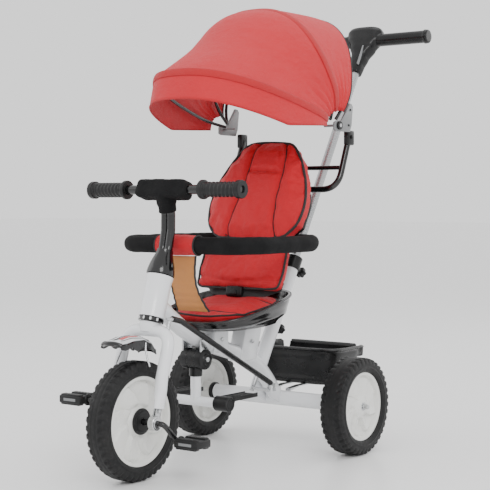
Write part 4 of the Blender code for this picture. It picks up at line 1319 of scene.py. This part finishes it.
def build_back():
    def spring(co):
        return eased((0.040 - co.y) / 0.012)
    outline = pillow(BACK_ROWS, 0.004)
    pad = stuffed(slab_of(outline, 0.006, 0.041), 0.016, spring, (0.12, 1.0, 0.12))
    channels = [[(-0.029, 0.318), (-0.035, 0.254), (-0.039, 0.207), (-0.052, 0.144),
                 (-0.063, 0.070)],
                [(0.048, 0.318), (0.064, 0.277), (0.066, 0.230), (0.064, 0.173), (0.074, 0.070)],
                [(-0.036, 0.241), (0.018, 0.2400), (0.066, 0.2360)]]
    pad = creased(pad, channels, 0.0075, 0.0075)
    pad = creased(pad, channels, 0.0030, 0.0024)
    pad = rumpled(pad, 0.0022, 0.036, 2, lambda co: eased((0.03 - co.y) / 0.01))
    lines = [tube(laid(pad, dense([(x, 0, z) for x, z in channel]), (0, 1, 0), 0.0006),
                  0.0013, 10) for channel in channels[:2]]
    edge = welt_line(pad, pillow(BACK_ROWS, -0.0035), 0.012)
    lines.append(tube(edge, 0.0034, 14, True))
    cushion = piece("back_cushion_padded", pad, "frame", "red_fabric", BACK, ["back_cushion"], 80)
    piece("back_cushion_piping", merged(*lines), "frame", "piping", BACK)

    board = pillow(((0.004, 0.070), (0.020, 0.086), (0.074, 0.086), (0.115, 0.126),
                    (0.170, 0.131), (0.240, 0.108), (0.295, 0.070)))
    shell = soft_edges(slab_of(board, 0.0462, 0.0560), 0.0025, 3)
    ribs = [block((x - 0.0015, 0.0545, 0.03), (x + 0.0015, 0.0572, 0.27 - abs(x) * 0.9), 0.0006, 1)
            for x in (-0.07, -0.035, 0.0, 0.035, 0.07)]
    piece("back_shell", merged(shell, *ribs), "frame", "black_plastic", BACK, ["back_board"])

    rows = ((-0.058, 0.108), (-0.046, 0.122), (-0.010, 0.124), (0.040, 0.122), (0.052, 0.112))
    straps = [tube(rounded([(x, 0.4530, 0.500), (x, 0.4520, 0.448), (x, 0.4640, 0.410),
                            (x, 0.4705, 0.378)], 0.02, 5), 0.0042, 16) for x in (-0.048, 0.048)]
    piece("back_straps", merged(*straps), "frame", "black_metal", GROUND)
    outline = pillow(rows, 0.003)
    pad = stuffed(slab_of(outline, 0.007, 0.034), 0.011,
                  lambda co: eased((0.034 - co.y) / 0.010), (0.12, 1.0, 0.12))
    seams = [[(-0.125, -0.028), (-0.04, -0.040), (0.04, -0.041), (0.125, -0.030)]]
    pad = creased(pad, seams, 0.0050, 0.0060)
    pad = rumpled(pad, 0.0024, 0.026, 5, lambda co: eased((0.03 - co.y) / 0.01))
    edge = welt_line(pad, pillow(rows, -0.0022), 0.011)
    cushion = piece("lumbar_cushion_padded", pad, "frame", "red_fabric", BACK,
                    ["lumbar_cushion"], 80)
    piece("lumbar_cushion_piping", tube(edge, 0.0028, 14, True), "frame", "piping", BACK)


def build_belt():
    """A lap belt across the seat: flat webbing and a buckle."""
    def strap(points, width):
        line = dense(rounded(points, 0.02, 6), 0.004)

        def where(u, v):
            index = min(round(v * (len(line) - 1)), len(line) - 1)
            return line[index] + Vector((0, width * (u - 0.5) * 0.55, width * (u - 0.5) * 0.85))
        band = skin(6, len(line) - 1, where)
        bmesh.ops.recalc_face_normals(band, faces=band.faces)
        bmesh.ops.solidify(band, geom=band.faces[:], thickness=0.0014)
        return band
    y, z = 0.405, 0.3960
    left = strap([(-0.108, y + 0.004, z + 0.004), (-0.080, y - 0.018, z - 0.008),
                  (-0.020, y - 0.034, z - 0.011)], 0.022)
    right = strap([(0.108, y + 0.004, z + 0.004), (0.080, y - 0.018, z - 0.008),
                   (0.016, y - 0.034, z - 0.011)], 0.022)
    belt = piece("lap_belt", merged(left, right), "frame", "webbing", GROUND, (), 60)
    buckle = block((-0.024, y - 0.046, z - 0.020), (0.022, y - 0.030, z + 0.006), 0.005)
    latch = block((-0.010, y - 0.0485, z - 0.014), (0.010, y - 0.044, z - 0.002), 0.002)
    piece("lap_belt_buckle", merged(buckle, latch), "frame", "satin_black", GROUND)


# ---------------------------------------------------------------- safety ring and crotch panel

def build_ring():
    half = RING_HALF
    corners = [(0, RING_FRONT), (half, RING_FRONT), (half, RING_REAR), (-half, RING_REAR),
               (-half, RING_FRONT), (0, RING_FRONT)]
    radii = [0.088, 0.120, 0.120, 0.088]
    path = rounded([(x, y, RING_Z) for x, y in corners], radii, 16)[:-1]
    foam = tube(dense(path, 0.010), RING_TUBE - 0.0006, 32, True)
    foam = rumpled(foam, 0.0011, 0.034, 4)
    ring = piece("safety_ring_foam", foam, "frame", "black_foam", GROUND, ["safety_ring"], 60)

    def sleeve(u, v):
        x = -0.055 + 0.110 * v
        angle = math.tau * u
        fold = noise.noise(Vector((x * 45, math.cos(angle) * 1.3, math.sin(angle) * 1.3)))
        radius = RING_TUBE + 0.0018 + 0.0011 * fold + 0.0008 * math.sin(math.pi * v)
        return Vector((x, radius * math.cos(angle), radius * math.sin(angle)))
    place = GROUND @ Matrix.Translation((0, RING_FRONT, RING_Z))
    solid = [("SOLIDIFY", {"thickness": 0.0012, "offset": 0.0})]
    wrap = skin(72, 40, sleeve)
    ends = [[sleeve(i / 48, v) * 1.0 for i in range(48)] for v in (0.0, 1.0)]
    rings = [tube(end, 0.0019, 10, True) for end in ends]
    trim = piece("ring_wrap_piping", merged(*rings), "frame", "piping", place)
    wrap = piece("ring_wrap_sleeve", wrap, "frame", "red_fabric", place, ["ring_wrap"], 80, solid)

    rows = ((0.3530, 0.2060), (0.3700, 0.1950), (0.3850, 0.1862), (0.4000, 0.1780),
            (0.4200, 0.1700), (0.4400, 0.1640), (0.4600, 0.1600), (0.4815, 0.1575))

    def panel(u, v):
        z = 0.3530 + 0.1280 * v
        y = table_at(rows, z)[0]
        half = 0.0455 * (1 - 0.20 * math.sin(math.pi * v))
        x = (2 * u - 1) * half
        dip = 0.0030 * (1 - (2 * u - 1) ** 2) + 0.0012 * noise.noise(Vector((x * 40, 0, z * 22)))
        return Vector((x, y - dip, z))
    bm = skin(30, 44, panel)
    edges = [tube([panel(u, i / 40) for i in range(41)], 0.0024, 12) for u in (0.0, 1.0)]
    trim = piece("crotch_panel_piping", merged(*edges), "frame", "piping", GROUND)
    sheet = piece("crotch_panel_cloth", bm, "frame", "tan_fabric", GROUND, ["crotch_panel"], 80,
                  solid)


# ---------------------------------------------------------------- rear basket

def build_basket():
    height = BASKET_TOP - BASKET_FLOOR
    middle = (BASKET_FRONT + BASKET_REAR) / 2
    half_y = (BASKET_REAR - BASKET_FRONT) / 2
    rows = ((0.0, 0.100, half_y - 0.020), (0.012, 0.108, half_y - 0.014),
            (height - 0.010, 0.1270, half_y - 0.004), (height, BASKET_HALF - 0.006, half_y - 0.004))

    def wall(u, z, grow):
        half_x, half_y_here = table_at(rows, z)
        x, y = ellipse(u, half_x + grow, half_y_here + grow, 5.0)
        dent = 0.0
        if 0.016 < z < height - 0.024 and abs(x) < half_x * 0.74:
            dent = 0.0022 * eased((half_x * 0.74 - abs(x)) / 0.006)
            dent *= eased((z - 0.016) / 0.005) * eased((height - 0.024 - z) / 0.005)
        notch = eased((abs(x) - 0.098) / 0.003) * eased((0.124 - abs(x)) / 0.003) * (y > 0)
        if z > height - 0.030:
            z -= notch * 0.030 * (z - height + 0.030) / 0.030
        return Vector((x, y - math.copysign(dent, y) * eased(abs(y) / half_y_here * 6 - 5), z))

    def where(u, v):
        if v < 0.10:
            corner = wall(u, 0.0, -0.006 * (1 - v / 0.10))
            scale = v / 0.10
            return Vector((corner.x * scale, corner.y * scale, 0.0))
        if v < 0.46:
            return wall(u, height * (v - 0.10) / 0.36 * 0.96, 0.0105 * eased((v - 0.43) / 0.03))
        if v < 0.54:
            turn = (v - 0.46) / 0.08
            return wall(u, height * (0.94 + 0.06 * math.sin(math.pi * turn)),
                        0.0130 * (1 - turn) - 0.0032 * turn)
        if v < 0.90:
            return wall(u, height * 0.96 * (0.90 - v) / 0.36 + 0.003 * (v - 0.54) / 0.36, -0.0032)
        corner = wall(u, 0.003, -0.0032)
        scale = (1 - v) / 0.10
        return Vector((corner.x * scale, corner.y * scale, 0.003))
    tub = skin(140, 84, where)
    place = GROUND @ Matrix.Translation((0, middle, BASKET_FLOOR))
    piece("basket_tub", tub, "frame", "satin_black", place, ["basket"], 45)
    screws = [(-0.030, -0.012, 0.0030), (0.030, -0.012, 0.0030)]
    piece("basket_screws", domes(screws, 0.0055, 0.5, 20), "frame", "steel", place)

    strip = [(0.5560, 0.1310), (0.5560, 0.1375), (0.6000, 0.1412), (0.7100, 0.1412),
             (0.7100, 0.1380), (0.6000, 0.1380), (0.5600, 0.1310)]
    rails = [plate(strip, x - 0.007, x + 0.007, 0.0008) for x in (-0.023, 0.023)]
    piece("basket_rails", merged(*rails), "frame", "steel", GROUND, ["basket_bracket"])


build_frame()
build_steering_rod()
build_knobs()
build_push()
build_footrest()
build_seat()
build_back()
build_belt()
build_ring()
build_basket()


# ---------------------------------------------------------------- canopy

def bow_point(bow, turn_angle, spread=0.0):
    """Half-turn position on a bow: (x, distance from the hinge axis)."""
    c, s = math.cos(turn_angle), math.sin(turn_angle)
    x = math.copysign(abs(c) ** 0.8, c) * (bow["half"] + spread)
    reach = max(s, 0.0) ** 0.8 * (bow["radius"] + spread)
    pinch = max(0.0, 1 - reach / 0.10) ** 2
    x -= math.copysign((bow["half"] - bow["base"]) * pinch, x)
    return x, reach


def polar(x, reach, angle):
    """A canopy point from its reach and its angle above the forward horizontal."""
    return Vector((x, -reach * math.cos(angle), reach * math.sin(angle)))


def bow_line(key, spread, count=64, start=1.5):
    bow = BOWS[key]
    line = []
    for i in range(count + 1):
        turn_angle = math.radians(start + (180 - 2 * start) * i / count)
        x, reach = bow_point(bow, turn_angle, spread)
        line.append(polar(x, max(reach, 0.010), math.radians(bow["angle"])))
    return line


def between(first, second, t):
    return {key: first[key] * (1 - t) + second[key] * t for key in first}


def cloth_point(first, second, t, across, sag, skew=1.0, drop=0.0):
    """A point on the cover: t runs from the first bow to the second, across over the top."""
    bow = between(first, second, t)
    angle = math.radians(bow["angle"])
    turn_angle = math.radians(CLOTH_START + CLOTH_SWEEP * across)
    x, reach = bow_point(bow, turn_angle, CLOTH_LIFT)
    top = max(0.0, math.sin(turn_angle))
    pull = 1 - sag * math.sin(math.pi * t ** skew) * top
    side = (1 - top) ** 2
    wave = 0.0045 * side * math.sin(math.pi * t) * math.sin(t * 15)
    wave += 0.0016 * math.sin(math.pi * t) * noise.noise(Vector((x * 9, t * 5, reach * 6)))
    point = polar(x * pull + math.copysign(wave, x), reach * pull, angle)
    hang = drop * min(1.0, reach / 0.20)
    point -= hang * Vector((0, math.sin(angle), math.cos(angle)))
    return point


def fold_with(obj, first_body, second_body, first_angle, second_angle):
    """Let a cover follow its two bows, each point by its angle round the hinge."""
    middle = HINGE.translation
    ahead = middle + Vector((0, -0.3, 0.05))
    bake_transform(obj, first_body, second_body, tuple(middle), tuple(ahead))
    share = obj.data.attributes["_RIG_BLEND"]
    for vert in obj.data.vertices:
        local = vert.co - middle
        angle = math.degrees(math.atan2(local.z, -local.y))
        part = (angle - first_angle) / (second_angle - first_angle)
        share.data[vert.index].value = max(0.0, min(1.0, part))


def cloth_band(key, width, lift, body, name):
    """A casing strip sewn over a bow."""
    bow = BOWS[key]

    def where(u, v):
        offset = (u - 0.5) * width
        turn_angle = math.radians(CLOTH_START + CLOTH_SWEEP * v)
        x, reach = bow_point(bow, turn_angle, lift + 0.0012 * (1 - (2 * u - 1) ** 2))
        angle = math.radians(bow["angle"]) + offset / max(reach, 0.06)
        return polar(x, reach, angle)
    band = skin(8, 110, where)
    solid = [("SOLIDIFY", {"thickness": 0.0009, "offset": 0.0})]
    return piece(name, band, body, "casing_fabric", HINGE, (), 80, solid)


def build_canopy():
    rear, mid, front = BOWS["rear"], BOWS["mid"], BOWS["front"]
    for key, body in (("rear", "frame"), ("mid", "canopy_mid"), ("front", "canopy_front")):
        piece(f"bow_{key}_wire", tube(bow_line(key, -0.0060), 0.0040, 16), body, "black_metal",
              HINGE, ["canopy_bow_" + key])
    solid = [("SOLIDIFY", {"thickness": 0.0012, "offset": 0.0})]

    mid_band = cloth_band("mid", 0.020, 0.0058, "canopy_mid", "casing_mid")
    front_band = cloth_band("front", 0.017, 0.0058, "canopy_front", "casing_front")

    bm = skin(96, 40, lambda u, v: cloth_point(mid, rear, v, u, 0.050))
    cover = piece("canopy_rear_cloth", bm, None, "canopy_fabric", HINGE, ["canopy_rear_cover"],
                  80, solid)
    fold_with(cover, "frame", "canopy_mid", rear["angle"], mid["angle"])

    def front_where(u, v):
        if v <= 0.82:
            return cloth_point(mid, front, v / 0.82, u, 0.125, 1.35)
        return cloth_point(front, front, 0.0, u, 0.0, 1.0, VISOR_DROP * (v - 0.82) / VISOR_SHARE)
    bm = skin(110, 62, front_where)
    hem = tube([front_where(i / 100, 1.0) for i in range(101)], 0.0016, 10)
    hem = piece("visor_hem", hem, "canopy_front", "casing_fabric", HINGE)
    cover = piece("canopy_front_cloth", bm, None, "canopy_fabric", HINGE, ["canopy_front_cover"],
                  80, solid)
    fold_with(cover, "canopy_mid", "canopy_front", mid["angle"], front["angle"])

    rear_edge = tube(bow_line("rear", 0.0042, 100, 4), 0.0022, 10)
    piece("canopy_rear_hem", rear_edge, "frame", "piping", HINGE)

    lean_y = math.tan(BACK_TILT)
    corner = Vector((HINGE_X, STAY_Y, 0.632))
    top = Vector((HINGE_X, STAY_Y + lean_y * 0.126, 0.758))
    path = [top, corner, Vector((-corner.x, corner.y, corner.z)), Vector((-top.x, top.y, top.z))]
    stay = tube(rounded(path, 0.045, 12), 0.0078, 24)
    cross_y = STAY_Y + lean_y * 0.053
    cross = tube([(-HINGE_X, cross_y, 0.685), (HINGE_X, cross_y, 0.685)], 0.0055, 20)
    mount = [block((x - 0.009, 0.5040, 0.621), (x + 0.009, 0.5740, 0.643), 0.003)
             for x in (-0.060, 0.060)]
    piece("canopy_stay_bar", merged(stay, cross), "frame", "gloss_black", GROUND, ["canopy_stay"])
    piece("canopy_stay_clamps", merged(*mount), "frame", "satin_black", GROUND)

    for side, sign in SIDES:
        socket = block((0.1545, 0.6020, 0.7400), (0.1690, 0.6320, 0.7760), 0.0040, 3)
        bolt = shift(lying(hex_nut(0.0050, 0.1685, 0.1725)), 0, 0.6170, 0.7600)
        socket = sided(merged(socket, bolt), sign)
        piece("stay_clamp_" + side, socket, "frame", "satin_black", GROUND)
        outline = [(-0.018, -0.010), (-0.010, -0.0135), (0.052, -0.014), (0.060, 0.002),
                   (0.066, 0.048), (0.060, 0.055), (0.050, 0.056), (0.030, 0.030),
                   (0.014, 0.012), (-0.012, 0.010), (-0.018, 0.006)]
        low, high = sorted((sign * 0.1697, sign * 0.1752))
        bracket = plate(outline, low, high, 0.0010)
        pin = lying(rod(0.0032, *sorted((sign * 0.134, sign * 0.1700)), 0.0006, 20))
        piece(f"canopy_hinge_{side}_plate", merged(bracket, pin), "frame", "grey_plastic",
              HINGE, ["canopy_hinge_" + side])
        low, high = sorted((sign * 0.1752, sign * 0.1812))
        boss = lying(washer(0.0030, 0.0105, low, high, 0.0014, 36))
        bolt = lying(rod(0.0045, *sorted((sign * 0.1800, sign * 0.1825)), 0.0010, 24))
        rivets = [shift(lying(rod(0.0030, *sorted((sign * 0.1750, sign * 0.1768)), 0.0008, 16)),
                        0, y, z) for y, z in ((0.046, 0.002), (0.053, 0.040))]
        piece(f"canopy_hinge_{side}_knob", merged(boss, *rivets), "frame", "satin_black", HINGE)
        piece(f"canopy_hinge_{side}_bolt", bolt, "frame", "steel", HINGE)


build_canopy()
